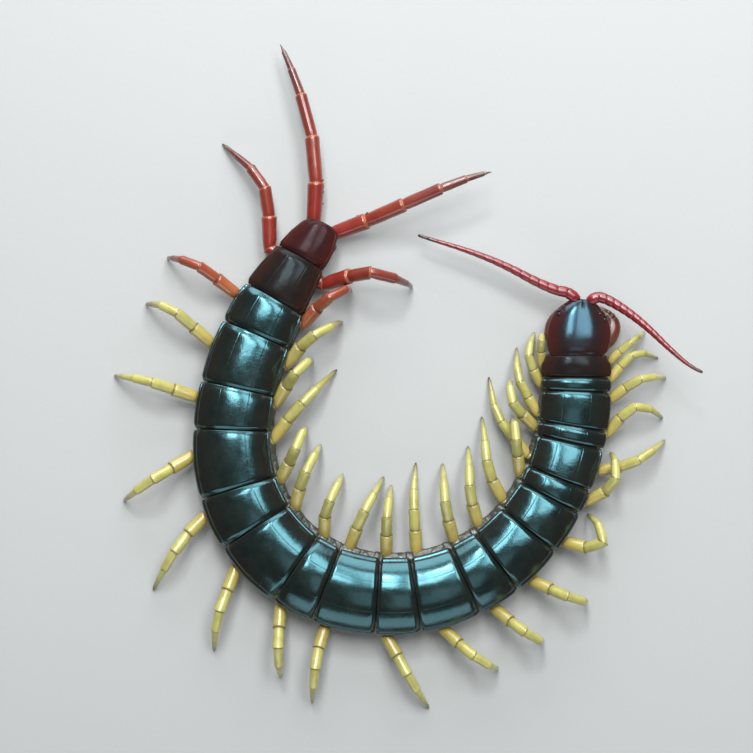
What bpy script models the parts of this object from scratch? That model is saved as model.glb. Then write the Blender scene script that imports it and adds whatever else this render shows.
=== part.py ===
"""Giant centipede, life size, curled in a U with its legs spread on the floor."""
import math

import bmesh
import bpy
import numpy as np

# Units and joints
MM = 0.001
GAP = 0.3
STEP = 0.05
SIDE_NAME = {1: "left", -1: "right"}

# Place of the neck on the floor plan and the top view
NECK_X = 38.8
NECK_Y = 4.1

# Trunk: one value per tergite, from the first to the last
TERGITE_LENGTH = (4.4, 3.2, 7.8, 3.6, 8.4, 4.8, 8.6, 10.0, 8.2, 11.5, 8.6, 11.8, 7.8, 12.7,
                  9.6, 13.0, 9.4, 12.8, 9.0, 11.0, 9.3)
TERGITE_WIDTH = (15.4, 15.4, 15.6, 15.4, 15.2, 15.2, 15.4, 15.8, 16.2, 16.6, 17.0, 17.2, 17.4,
                 17.6, 17.6, 17.4, 17.0, 16.8, 16.0, 13.6, 10.6)
TAIL_END_WIDTH = 7.8
TERGITE_HEADING = (-90, -91, -95, -101, -107, -115, -124, -135, -149, -163, -178, -192, -208,
                   -226, -245, -264, -278, -289, -297, -304, -296)

# Heights along the trunk
HEIGHT_STATION = (0.0, 19.0, 42.0, 132.0, 150.0, 176.0, 185.5)
TOP_HEIGHT = (8.9, 8.95, 10.2, 10.2, 9.7, 8.9, 8.0)
RIM_HEIGHT = (6.8, 6.8, 7.2, 7.2, 7.1, 6.8, 6.6)
ROOT_HEIGHT = (4.2, 4.3, 4.4, 4.4, 4.4, 4.0, 4.0)
BELLY_HEIGHT = 1.5
WALL_SHARE = 0.86
WALL_TOP = 6.2
WALL_FOOT = 2.9

# Back plates: shape across, and how far the plate sinks and narrows at the front of each segment
ARCH_SHARES = (0.0, 0.34, 0.62, 0.82, 0.94, 1.0)
ARCH_POWER = 2.4
RIM_THICKNESS = 0.6
RIM_INSET = 0.15
UNDER_RIM = 0.2
PLATE_RISE = 0.45
SUNK_NARROWING = 1.2
COLLAR_LENGTH = 1.0
COLLAR_SHARE = 0.2
COLLAR_PLATE = 0.8

# Belly: width of its turned-up edge and its flat, as shares of the wall's
BELLY_EDGE_SHARE = 0.78
BELLY_EDGE_RISE = 0.25
BELLY_FLAT_SHARE = 0.58

# Last segment: it swings to the left, has swollen sides, and its plate hangs over the trailing legs
COXOPLEURA_HALF_WIDTH = 4.8
TAIL_SWING = 1.2
TAIL_OVERHANG = 2.0
OVERHANG_THICKNESS = 1.1
OVERHANG_STEP = 0.2
OVERHANG_SHARES = (0.8, 0.6, 0.4, 0.2)
PROCESS_OFFSET = 3.6
PROCESS_HEIGHT = 2.0
PROCESS_LENGTH = 2.4
PROCESS_RADIUS = 0.42
PROCESS_SUNK = 0.4
PROCESS_FALL = 0.12

# Walking legs: root station, size and pose of each pair
LEG_STATION = (2.2, 5.6, 10.5, 16.8, 23.0, 29.8, 38.0, 47.6, 56.6, 66.8, 76.8, 87.6, 97.0, 108.0,
               118.4, 129.9, 140.9, 152.0, 163.0, 173.5)
LEG_SIZE = (0.62, 0.72, 0.82, 0.90, 0.95, 0.97, 1.0, 1.0, 1.0, 1.0, 1.0, 1.0, 1.0, 1.06, 1.06,
            1.08, 1.06, 1.06, 1.08, 1.34)
GIRTH_POWER = 0.6
ARTICLE_LENGTH = (1.2, 5.4, 4.8, 4.4, 3.8, 2.6, 1.5)
ARTICLE_START = (1.35, 1.3, 1.2, 1.02, 0.8, 0.56, 0.36)
ARTICLE_END = (1.35, 1.48, 1.25, 1.0, 0.64, 0.44, 0.26)
ARCH = (0.0, 20.0, 30.0, -18.0, -44.0, -54.0, -66.0)
KNEE_WIDTH = 2.4
LEG_SIDES = 8
JOINT_STEP = 0.12
HIP_REACH = 1.5
HIP_MARGIN = (0.2, 0.4)
LOWEST_PITCH = -85.0
HIGHEST_PITCH = 80.0
GREATEST_STRETCH = 2.6
HALVINGS = 40

# Pose of each left leg: swing of the thigh, swing of the foot, reach, knee and shift of the root
LEFT_POSE = (
    (85, 112, 7.6, 2.6, -0.5), (60, 114, 13.7, 2.6, 0.7), (52, 88, 17.2, 2.8, 3.2),
    (33, 96, 14.1, 2.8, 0.7), (32, 63, 21.4, 3.0, 2.1), (53, 67, 13.8, 2.9, 0.9),
    (22, 48, 20.9, 2.0, 1.3), (22, 40, 19.2, 2.2, 1.5), (11, 26, 18.7, 2.4, 0.9),
    (6, 16, 21.5, 3.2, 2.0), (-2, 9, 16.6, 2.8, 0.8), (2, 12, 19.0, 2.2, 1.0),
    (-33, -7, 15.8, 1.6, 0.0), (-42, -27, 16.6, 1.6, 1.6), (-42, -54, 14.6, 3.0, 1.0),
    (-53, -44, 22.8, 1.6, 1.8), (-68, -57, 14.2, 1.8, 0.8), (-72, -50, 17.2, 1.6, 0.4),
    (-72, -52, 14.9, 1.6, 0.2), (-39, -11, 21.9, 2.2, 0.3),
)

# Pose of each right leg
RIGHT_POSE = (
    (44, 35, 11.9, 2.0, -1.2), (52, -13, 15.2, 2.8, -0.6), (40, 2, 15.7, 2.6, -1.4),
    (62, -18, 17.5, 2.6, -0.8), (26, 49, 18.5, 1.8, 0.4), (54, 113, 14.9, 2.0, 0.0),
    (21, 160, 15.9, 2.4, 0.5), (22, 29, 14.9, 1.6, 0.5), (20, 29, 14.9, 1.6, 0.0),
    (32, 41, 17.0, 1.6, 0.0), (31, 31, 20.9, 3.6, 0.5), (-2, 11, 19.3, 1.6, 0.8),
    (29, 33, 17.6, 2.0, 0.2), (30, 41, 21.4, 2.8, -0.5), (22, 37, 22.5, 1.6, -0.3),
    (29, 31, 20.4, 3.0, -0.8), (-9, 2, 21.2, 3.0, -0.8), (-21, 11, 19.6, 3.0, -1.0),
    (-4, 17, 19.6, 2.6, -0.8), (-50, -4, 30.2, 2.6, 0.9),
)

# Ultimate legs, which trail behind without touching the floor; the left one is a little shorter
ULTIMATE_LENGTH = (10.1, 10.3, 9.9, 6.5, 4.6, 1.9)
ULTIMATE_SCALE = {1: 0.92, -1: 1.0}
ULTIMATE_START = (1.6, 1.55, 1.35, 1.05, 0.75, 0.42)
ULTIMATE_END = (1.9, 1.65, 1.35, 0.9, 0.55, 0.1)
ULTIMATE_ROOT_OFFSET = 2.05
ULTIMATE_ROOT_HEIGHT = 3.6
ULTIMATE_TURN = {1: (-45, -43, -42, -43, -46, -50), -1: (22, 31, 41, 46, 49, 51)}
ULTIMATE_PITCH = {1: (14, 20, 13, 0, -10, -16), -1: (12, 5, -2, -7, -10, -14)}

# Spines inside the thigh: share of its length and lift of each
SPINE_PLACES = ((0.42, -0.5), (0.66, 0.1), (0.72, -0.9), (0.93, 0.5))
SPINE_INWARD = 0.9
SPINE_ONWARD = 0.7
SPINE_DEPTH = 1.1
SPINE_LENGTH = 1.5
SPINE_RADIUS = 0.42

# Head
HEAD_HEADING = 83.0
NECK_BEND = (0.2, 2.6)
HEAD_STATION = (0.15, 1.2, 3.2, 5.6, 8.0, 10.0, 11.6, 12.6, 12.9)
HEAD_HALF_WIDTH = (5.6, 6.4, 6.9, 7.0, 6.5, 5.5, 4.0, 2.4, 1.2)
HEAD_TOP = (8.4, 8.7, 8.9, 8.9, 8.6, 8.1, 7.4, 6.8, 6.4)
HEAD_BOTTOM = (4.8, 4.8, 4.8, 4.8, 4.8, 4.8, 4.9, 5.1, 5.4)
COXOSTERNITE_STATION = (0.15, 1.6, 4.6, 6.4, 7.4)
COXOSTERNITE_HALF_WIDTH = (5.0, 4.9, 4.7, 3.4, 2.2)
COXOSTERNITE_BOTTOM = 1.6
COXOSTERNITE_TOP = 5.4
COXOSTERNITE_RISE = 0.25
COXOSTERNITE_BEVEL = 0.7
COXOSTERNITE_FLAT_SHARE = 0.75
HEAD_SIDES = 16
HEAD_ACROSS_POWER = 0.8
HEAD_UP_POWER = 0.75
HEAD_MIDDLE_SHARE = 0.6
EYE_PLACES = ((9.0, 34.0), (9.8, 20.0), (10.1, 46.0), (10.8, 30.0))
EYE_AXIS_HEIGHT = 6.2
EYE_RADIUS = 0.34
EYE_LENGTH = 0.6
TOOTH_OFFSET = 1.15
TOOTH_STATION = 6.8
TOOTH_HEIGHT = 2.6
TOOTH_LENGTH = 1.4
TOOTH_RADIUS = 0.7
PALP_OFFSET = 1.6
PALP_STATION = 6.6
PALP_HEIGHT = 4.1
PALP_TURN = 14.0
PALP_LENGTH = 3.2
PALP_RADIUS = 1.15

# Forcipules: places across and forward along the claw; the right one is spread a little
FORCIPULE_PATH = ((5.15, 3.5), (6.0, 4.8), (6.2, 7.0), (5.6, 8.9), (4.3, 10.3), (2.9, 10.9),
                  (1.4, 10.9))
FORCIPULE_TURN = (0, 45, 88, 118, 150, 172, 186)
FORCIPULE_HALF_WIDTH = (1.7, 1.9, 1.8, 1.4, 0.95, 0.6, 0.14)
FORCIPULE_HALF_HEIGHT = (1.35, 1.4, 1.35, 1.1, 0.8, 0.5, 0.14)
FORCIPULE_HEIGHT = 3.05
FORCIPULE_SPREAD = {-1: -0.8, 1: 1.6}
FORCIPULE_ADVANCE = {-1: 0.0, 1: 0.8}
FORCIPULE_SPREAD_END = 5.0
FORCIPULE_ADVANCE_END = 2.0
FORCIPULE_SIDES = 10

# Antennae: from left to right along each, the turn away from the head and the pitch at the knots
ANTENNA_ARTICLES = 17
ANTENNA_LENGTH = {-1: 38.3, 1: 30.5}
ANTENNA_ROOT_RADIUS = 1.3
ANTENNA_TIP_RADIUS = 0.34
ANTENNA_SIDES = 6
ANTENNA_WAIST = 0.9
ANTENNA_END = 0.6
ANTENNA_ROOT = 1.8
ANTENNA_HEIGHT = 6.4
ANTENNA_KNOTS = (0.0, 0.04, 0.12, 0.3, 0.55, 0.8, 1.0)
ANTENNA_TURN = {-1: (65, 91, 76, 68, 75, 80, 77), 1: (-63, -100, -113, -122, -130, -125, -103)}
ANTENNA_PITCH = {-1: (4, 4, 3, 0, -4, -6, -8), 1: (6, 8, 12, 14, 12, 8, 2)}

# Colours
PLATE_GREEN = (0.025, 0.032, 0.022)
HEAD_BROWN = (0.05, 0.02, 0.012)
TAIL_MAROON = (0.11, 0.016, 0.01)
FORCIPULE_RED = (0.22, 0.05, 0.015)
ANTENNA_CRIMSON = (0.36, 0.02, 0.02)
LEG_YELLOW = (0.78, 0.42, 0.05)
LEG_ORANGE = (0.72, 0.12, 0.025)
LEG_RED = (0.55, 0.05, 0.025)
SHELL_ROUGHNESS = 0.3
CREASE_ANGLE = 40.0

SEGMENTS = len(TERGITE_LENGTH)
BORDERS = np.concatenate(([0.0], np.cumsum(TERGITE_LENGTH)))
CENTRES = (BORDERS[:-1] + BORDERS[1:]) / 2.0
BODY_LENGTH = BORDERS[-1]


def midline():
    """Return stations, positions and headings of the trunk's middle line."""
    stations = np.arange(0.0, BODY_LENGTH + STEP, STEP)
    heading = np.radians(np.interp(stations, CENTRES, TERGITE_HEADING))
    x = NECK_X + STEP * np.concatenate(([0.0], np.cumsum(np.cos(heading[:-1]))))
    y = NECK_Y + STEP * np.concatenate(([0.0], np.cumsum(np.sin(heading[:-1]))))
    return stations, x, y, heading


LINE_STATION, LINE_X, LINE_Y, LINE_HEADING = midline()


def frame_at(station):
    """Return the point, the tailward direction and the animal's left direction at a station."""
    point = np.array((np.interp(station, LINE_STATION, LINE_X),
                      np.interp(station, LINE_STATION, LINE_Y), 0.0))
    heading = np.interp(station, LINE_STATION, LINE_HEADING)
    back = np.array((math.cos(heading), math.sin(heading), 0.0))
    left = np.array((math.sin(heading), -math.cos(heading), 0.0))
    return point, back, left


def half_width(station):
    """Return half the trunk's width at a station."""
    stations = np.append(CENTRES, BODY_LENGTH)
    widths = np.append(TERGITE_WIDTH, TAIL_END_WIDTH)
    return 0.5 * float(np.interp(station, stations, widths))


def wall_offset(station):
    """Return how far the side wall stands from the middle at a station."""
    wall = WALL_SHARE * half_width(station)
    if station > BORDERS[-2]:
        wall = max(wall, COXOPLEURA_HALF_WIDTH)
    return wall


def wall_face(station, side, reach):
    """Return the middle of the wall about a station and the direction square to it."""
    ends = []
    for near in (station - reach, station + reach):
        point, back, left = frame_at(near)
        ends.append(point + left * side * wall_offset(near))
    along = ends[1] - ends[0]
    along = along / np.linalg.norm(along)
    outward = np.array((along[1], -along[0], 0.0)) * side
    return 0.5 * (ends[0] + ends[1]), outward


def trunk_profile(station, plate, overhang):
    """Return sideways offsets and heights down the left half of a ring, from the top middle.

    Where the plate overhangs, the lower points lie on its underside."""
    half = half_width(station)
    top = float(np.interp(station, HEIGHT_STATION, TOP_HEIGHT))
    rim = float(np.interp(station, HEIGHT_STATION, RIM_HEIGHT))
    sunk = PLATE_RISE * (1.0 - plate)
    wall = wall_offset(station)
    edge = half - SUNK_NARROWING * sunk
    profile = []
    for share in ARCH_SHARES:
        profile.append((share * edge, rim + (top - rim) * (1.0 - share ** ARCH_POWER) - sunk))
    profile.append((edge - RIM_INSET, rim - RIM_THICKNESS))
    if overhang:
        for share in OVERHANG_SHARES:
            arch = rim + (top - rim) * (1.0 - share ** ARCH_POWER)
            profile.append((share * edge, arch - OVERHANG_THICKNESS))
    else:
        profile.append((wall, min(WALL_TOP, rim - RIM_THICKNESS - UNDER_RIM)))
        profile.append((wall, WALL_FOOT))
        profile.append((BELLY_EDGE_SHARE * wall, BELLY_HEIGHT + BELLY_EDGE_RISE))
        profile.append((BELLY_FLAT_SHARE * wall, BELLY_HEIGHT))
    return np.array(profile)


def trunk_ring(station, plate, shift=0.0, overhang=False):
    """Return one closed ring of points across the trunk, moved along it by shift."""
    point, back, left = frame_at(station)
    profile = trunk_profile(station, plate, overhang)
    swing = TAIL_SWING * max(0.0, (station - BORDERS[-2]) / TERGITE_LENGTH[-1])
    side = np.concatenate((profile[:, 0], -profile[:0:-1, 0])) + swing
    ring = point + back * shift + side[:, None] * left
    ring[:, 2] = np.concatenate((profile[:, 1], profile[:0:-1, 1]))
    return ring


def tube_ring(centre, normal, across, half_wide, half_tall, sides):
    """Return one elliptical ring of points round centre in the plane square to normal."""
    across = across / np.linalg.norm(across)
    upward = np.cross(across, normal)
    upward = upward / np.linalg.norm(upward)
    angle = 2.0 * math.pi * (np.arange(sides) + 0.5) / sides
    return centre + half_wide * np.cos(angle)[:, None] * across + half_tall * np.sin(angle)[:, None] * upward


def direction(turn, pitch):
    """Return the unit direction with this compass turn and pitch in degrees."""
    turn = math.radians(turn)
    pitch = math.radians(pitch)
    flat = math.cos(pitch)
    return np.array((flat * math.cos(turn), flat * math.sin(turn), math.sin(pitch)))


def sideways(turn):
    """Return the horizontal direction to the right of a compass turn in degrees."""
    turn = math.radians(turn)
    return np.array((math.sin(turn), -math.cos(turn), 0.0))


def material(name, colour):
    """Return a plain glossy material of the given colour."""
    made = bpy.data.materials.new("mat_" + name)
    made.use_nodes = True
    shader = made.node_tree.nodes["Principled BSDF"]
    shader.inputs["Base Color"].default_value = (*colour, 1.0)
    shader.inputs["Roughness"].default_value = SHELL_ROUGHNESS
    made.diffuse_color = (*colour, 1.0)
    return made


def mesh_object(name, rings):
    """Make a closed object from rings of points in millimetres, each with the same count."""
    shape = bmesh.new()
    loops = []
    for ring in rings:
        loops.append([shape.verts.new(tuple(float(value) * MM for value in point)) for point in ring])
    count = len(loops[0])
    for first, second in zip(loops[:-1], loops[1:]):
        for index in range(count):
            following = (index + 1) % count
            shape.faces.new((first[index], first[following], second[following], second[index]))
    shape.faces.new(loops[0])
    shape.faces.new(loops[-1])
    bmesh.ops.recalc_face_normals(shape, faces=shape.faces)
    for face in shape.faces:
        face.smooth = True
    mesh = bpy.data.meshes.new(name)
    shape.to_mesh(mesh)
    shape.free()
    made = bpy.data.objects.new(name, mesh)
    bpy.context.scene.collection.objects.link(made)
    return made


def finish(made, colour):
    """Give an object its own material and crease its sharp edges."""
    made.data.materials.append(material(made.name, colour))
    made.data.set_sharp_from_angle(angle=math.radians(CREASE_ANGLE))


def keep_largest(mesh):
    """Keep only the largest connected surface of a mesh."""
    shape = bmesh.new()
    shape.from_mesh(mesh)
    unseen = set(shape.verts)
    groups = []
    while unseen:
        waiting = [unseen.pop()]
        group = list(waiting)
        while waiting:
            for edge in waiting.pop().link_edges:
                for corner in edge.verts:
                    if corner in unseen:
                        unseen.remove(corner)
                        waiting.append(corner)
                        group.append(corner)
        groups.append(group)
    groups.sort(key=len)
    for group in groups[:-1]:
        bmesh.ops.delete(shape, geom=group, context="VERTS")
    shape.to_mesh(mesh)
    shape.free()


def fuse(base, extras):
    """Join extras into base as one closed surface."""
    group = bpy.data.collections.new(base.name + "_extras")
    bpy.context.scene.collection.children.link(group)
    for extra in extras:
        bpy.context.scene.collection.objects.unlink(extra)
        group.objects.link(extra)
    union = base.modifiers.new("union", "BOOLEAN")
    union.operation = "UNION"
    union.operand_type = "COLLECTION"
    union.collection = group
    union.solver = "EXACT"
    graph = bpy.context.evaluated_depsgraph_get()
    joined = bpy.data.meshes.new_from_object(base.evaluated_get(graph))
    base.modifiers.remove(union)
    keep_largest(joined)
    base.data = joined
    for extra in extras:
        bpy.data.objects.remove(extra)
    bpy.data.collections.remove(group)


def make_processes():
    """Make the pair of short points behind the last segment, beneath the trailing legs."""
    point, back, left = frame_at(BODY_LENGTH - TAIL_OVERHANG)
    way = back - np.array((0.0, 0.0, PROCESS_FALL))
    way = way / np.linalg.norm(way)
    processes = []
    for side in (-1, 1):
        root = point + left * (TAIL_SWING + side * PROCESS_OFFSET) - back * PROCESS_LENGTH * PROCESS_SUNK
        root[2] = PROCESS_HEIGHT
        processes.append(spike("process", root, way, PROCESS_LENGTH, PROCESS_RADIUS))
    return processes


def segment_rings(index):
    """Return the rings of one segment: sunk front, collar, the flat about the hips and the rear."""
    start = BORDERS[index]
    end = BORDERS[index + 1]
    collar = min(COLLAR_LENGTH, COLLAR_SHARE * (end - start))
    front = GAP / 2.0 if index % 2 == 0 else STEP
    rings = [trunk_ring(start, 0.0, front), trunk_ring(start + collar, COLLAR_PLATE)]
    if index == SEGMENTS - 1:
        body_end = end - TAIL_OVERHANG
        rings.append(trunk_ring((start + body_end) / 2.0, 1.0))
        rings.append(trunk_ring(body_end, 1.0))
        rings.append(trunk_ring(body_end, 1.0, OVERHANG_STEP, overhang=True))
        rings.append(trunk_ring(end, 1.0, -GAP / 2.0, overhang=True))
        return rings
    root = LEG_STATION[index]
    room = min(root - start - collar - HIP_MARGIN[0], end - root - HIP_MARGIN[1])
    reach = min(HIP_REACH * LEG_SIZE[index], room)
    rings.append(trunk_ring(root - reach, 1.0))
    rings.append(trunk_ring(root + reach, 1.0))
    rings.append(trunk_ring(end, 1.0, 0.0 if index % 2 == 0 else -GAP / 2.0))
    return rings


def make_trunk():
    """Make the eleven trunk lengths, two segments in each and the last on its own."""
    for first in range(0, SEGMENTS - 1, 2):
        rings = segment_rings(first) + segment_rings(first + 1)
        trunk = mesh_object("trunk_%02d_%02d" % (first + 1, first + 2), rings)
        finish(trunk, PLATE_GREEN)
    tail = mesh_object("trunk_%02d" % SEGMENTS, segment_rings(SEGMENTS - 1))
    fuse(tail, make_processes())
    finish(tail, TAIL_MAROON)


def leg_chain(size, pose, tilt, stretch):
    """Return lengths, turns and pitches of the seven articles of a walking leg.

    The turn eases from the thigh's swing to the foot's over the articles about the knee."""
    thigh, foot, reach, knee, shift = pose
    share = np.clip((np.arange(len(ARTICLE_LENGTH)) - knee) / KNEE_WIDTH + 0.5, 0.0, 1.0)
    turns = thigh + (foot - thigh) * share * share * (3.0 - 2.0 * share)
    turns[0] = 0.0
    pitches = np.clip(np.array(ARCH) * stretch + tilt, LOWEST_PITCH, HIGHEST_PITCH)
    return np.array(ARTICLE_LENGTH) * size, turns, pitches


def solve_leg(size, pose, root_height):
    """Find the arch that puts the foot on the floor at the pose's reach, by halving two ranges."""
    low_stretch = 0.0
    high_stretch = GREATEST_STRETCH
    for _ in range(HALVINGS):
        stretch = 0.5 * (low_stretch + high_stretch)
        low_tilt = LOWEST_PITCH
        high_tilt = HIGHEST_PITCH
        for _ in range(HALVINGS):
            tilt = 0.5 * (low_tilt + high_tilt)
            lengths, turns, pitches = leg_chain(size, pose, tilt, stretch)
            fall = float(np.sum(lengths * np.sin(np.radians(pitches))))
            if fall + root_height > 0.0:
                high_tilt = tilt
            else:
                low_tilt = tilt
        span = float(np.sum(lengths * np.cos(np.radians(pitches))))
        if span > pose[2]:
            low_stretch = stretch
        else:
            high_stretch = stretch
    return lengths, turns, pitches


def limb_rings(place, first_ring, steps, compass, lengths, starts, ends, single_hip):
    """Return the rings of a jointed limb: two at each joint, from the wide end to the narrow start.

    Where single_hip is true the first joint has only the ring of the article after it."""
    rings = [first_ring]
    for index in range(len(lengths) - 1):
        place = place + steps[index] * lengths[index]
        normal = steps[index] + steps[index + 1]
        normal = normal / np.linalg.norm(normal)
        across = sideways(0.5 * (compass[index] + compass[index + 1]))
        for shift, radius in ((-JOINT_STEP, ends[index]), (JOINT_STEP, starts[index + 1])):
            if shift > 0.0 or index > 0 or not single_hip:
                rings.append(tube_ring(place + normal * shift, normal, across, radius, radius, LEG_SIDES))
    return rings, place + steps[-1] * lengths[-1]


def make_leg(pair, side, pose):
    """Make one walking leg from its wall root to the flat under its claw."""
    size = LEG_SIZE[pair]
    girth = size ** GIRTH_POWER
    starts = np.array(ARTICLE_START) * girth
    ends = np.array(ARTICLE_END) * girth
    station = LEG_STATION[pair] + pose[4]
    foot_of_wall, outward = wall_face(station, side, starts[0])
    heading = math.degrees(math.atan2(outward[1], outward[0]))
    root_height = float(np.interp(station, HEIGHT_STATION, ROOT_HEIGHT))
    lengths, turns, pitches = solve_leg(size, pose, root_height)
    place = foot_of_wall + outward * GAP
    place[2] = root_height
    compass = [heading - side * turn for turn in turns]
    steps = [direction(turn, pitch) for turn, pitch in zip(compass, pitches)]
    hip = tube_ring(place, outward, sideways(heading), starts[0], starts[0], LEG_SIDES)
    rings, tip = limb_rings(place, hip, steps, compass, lengths, starts, ends, True)
    tip[2] = 0.0
    down = np.array((0.0, 0.0, -1.0))
    rings.append(tube_ring(tip, down, sideways(compass[-1]), ends[-1], ends[-1], LEG_SIDES))
    leg = mesh_object("leg_%02d_%s" % (pair + 1, SIDE_NAME[side]), rings)
    finish(leg, {18: LEG_ORANGE, 19: LEG_RED}.get(pair, LEG_YELLOW))


def spike(name, root, way, length, radius, sides=5, blunt=0.18):
    """Make one tapered form from a root point along a way, with its tip this blunt."""
    across = np.cross(way, (0.0, 0.0, 1.0))
    rings = []
    for share, thickness in ((0.0, 1.0), (0.6, 0.55 + 0.45 * blunt), (1.0, blunt)):
        rings.append(tube_ring(root + way * length * share, way, across, radius * thickness,
                               radius * thickness, sides))
    return mesh_object(name, rings)


def make_ultimate(side):
    """Make one trailing leg of the last pair, with spines inside its thigh."""
    point, back, left = frame_at(BODY_LENGTH - TAIL_OVERHANG + OVERHANG_STEP + GAP)
    heading = math.degrees(math.atan2(back[1], back[0]))
    root = point + left * (TAIL_SWING + side * ULTIMATE_ROOT_OFFSET)
    root[2] = ULTIMATE_ROOT_HEIGHT
    lengths = np.array(ULTIMATE_LENGTH) * ULTIMATE_SCALE[side]
    compass = [heading + turn for turn in ULTIMATE_TURN[side]]
    steps = [direction(turn, pitch) for turn, pitch in zip(compass, ULTIMATE_PITCH[side])]
    hip = tube_ring(root, back, sideways(heading), ULTIMATE_START[0], ULTIMATE_START[0], LEG_SIDES)
    rings, tip = limb_rings(root, hip, steps, compass, lengths, ULTIMATE_START, ULTIMATE_END, False)
    across = sideways(compass[-1])
    rings.append(tube_ring(tip, steps[-1], across, ULTIMATE_END[-1], ULTIMATE_END[-1], LEG_SIDES))
    leg = mesh_object("ultimate_leg_" + SIDE_NAME[side], rings)
    inward = sideways(compass[0]) * -side
    spines = []
    for share, lift in SPINE_PLACES:
        way = inward * SPINE_INWARD + steps[0] * SPINE_ONWARD + np.array((0.0, 0.0, lift))
        way = way / np.linalg.norm(way)
        spine_root = root + steps[0] * lengths[0] * share + way * SPINE_DEPTH
        spines.append(spike("spine", spine_root, way, SPINE_LENGTH, SPINE_RADIUS))
    fuse(leg, spines)
    finish(leg, LEG_RED)


def head_place(sideways_offset, forward, height):
    """Return a point given across the head, forward of the neck and up."""
    point, back, left = frame_at(0.0)
    ahead = direction(HEAD_HEADING, 0.0)
    neck_turn = math.degrees(math.atan2(-back[1], -back[0]))
    right = sideways(float(np.interp(forward, NECK_BEND, (neck_turn, HEAD_HEADING))))
    place = point + ahead * forward + right * sideways_offset
    place[2] = height
    return place


def head_point(station, angle):
    """Return the point of the head capsule at a station forward and an angle round it."""
    half = float(np.interp(station, HEAD_STATION, HEAD_HALF_WIDTH))
    top = float(np.interp(station, HEAD_STATION, HEAD_TOP))
    bottom = float(np.interp(station, HEAD_STATION, HEAD_BOTTOM))
    across = math.copysign(abs(math.cos(angle)) ** HEAD_ACROSS_POWER, math.cos(angle)) * half
    rise = math.copysign(abs(math.sin(angle)) ** HEAD_UP_POWER, math.sin(angle))
    middle = HEAD_MIDDLE_SHARE * top + (1.0 - HEAD_MIDDLE_SHARE) * bottom
    tall = top - middle if rise > 0 else middle - bottom
    return head_place(across, station, middle + rise * tall)


def make_capsule():
    """Make the head plate and the capsule beneath it as one closed shell."""
    angles = 2.0 * math.pi * np.arange(HEAD_SIDES) / HEAD_SIDES
    rings = []
    for station in HEAD_STATION:
        rings.append([head_point(station, angle) for angle in angles])
    return mesh_object("head", rings)


def make_coxosternite():
    """Make the plate under the head that carries the poison claws."""
    rings = []
    for station, half in zip(COXOSTERNITE_STATION, COXOSTERNITE_HALF_WIDTH):
        low = COXOSTERNITE_BOTTOM + COXOSTERNITE_RISE * station / COXOSTERNITE_STATION[-1]
        flat = COXOSTERNITE_FLAT_SHARE * half
        corners = ((half, COXOSTERNITE_TOP), (half, low + COXOSTERNITE_BEVEL), (flat, low))
        ring = [head_place(-across, station, height) for across, height in corners]
        ring += [head_place(across, station, height) for across, height in reversed(corners)]
        rings.append(ring)
    return mesh_object("coxosternite", rings)


def make_head_forms():
    """Make the eyes, tooth plates and mouth palps that stand out from the head."""
    forms = []
    ahead = direction(HEAD_HEADING, 0.0)
    for side in (-1, 1):
        for station, angle in EYE_PLACES:
            if side < 0:
                angle = 180.0 - angle
            surface = head_point(station, math.radians(angle))
            way = surface - head_place(0.0, station, EYE_AXIS_HEIGHT)
            way = way / np.linalg.norm(way)
            forms.append(spike("eye", surface - way * EYE_RADIUS, way, EYE_LENGTH, EYE_RADIUS, 6, 0.6))
        tooth_root = head_place(side * TOOTH_OFFSET, TOOTH_STATION, TOOTH_HEIGHT)
        forms.append(spike("tooth_plate", tooth_root, ahead, TOOTH_LENGTH, TOOTH_RADIUS, 6, 0.5))
        palp_root = head_place(side * PALP_OFFSET, PALP_STATION, PALP_HEIGHT)
        way = direction(HEAD_HEADING + side * PALP_TURN, 0.0)
        forms.append(spike("palp", palp_root, way, PALP_LENGTH, PALP_RADIUS, 8, 0.4))
    return forms


def make_head():
    """Make the head with the coxosternite, eyes, tooth plates and palps fused on."""
    head = make_capsule()
    fuse(head, [make_coxosternite()] + make_head_forms())
    finish(head, HEAD_BROWN)


def make_forcipule(side):
    """Make one curved poison claw beside and beneath the head, on the right for side 1."""
    rings = []
    for index, (across, forward) in enumerate(FORCIPULE_PATH):
        spread = FORCIPULE_SPREAD[side] * math.sin(math.pi * min(1.0, index / FORCIPULE_SPREAD_END))
        advance = FORCIPULE_ADVANCE[side] * min(1.0, index / FORCIPULE_ADVANCE_END)
        centre = head_place(side * (across + spread), forward + advance, FORCIPULE_HEIGHT)
        compass = HEAD_HEADING - side * (90.0 - FORCIPULE_TURN[index])
        rings.append(tube_ring(centre, direction(compass, 0.0), sideways(compass),
                               FORCIPULE_HALF_WIDTH[index], FORCIPULE_HALF_HEIGHT[index],
                               FORCIPULE_SIDES))
    claw = mesh_object("forcipule_" + SIDE_NAME[-side], rings)
    finish(claw, FORCIPULE_RED)


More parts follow.
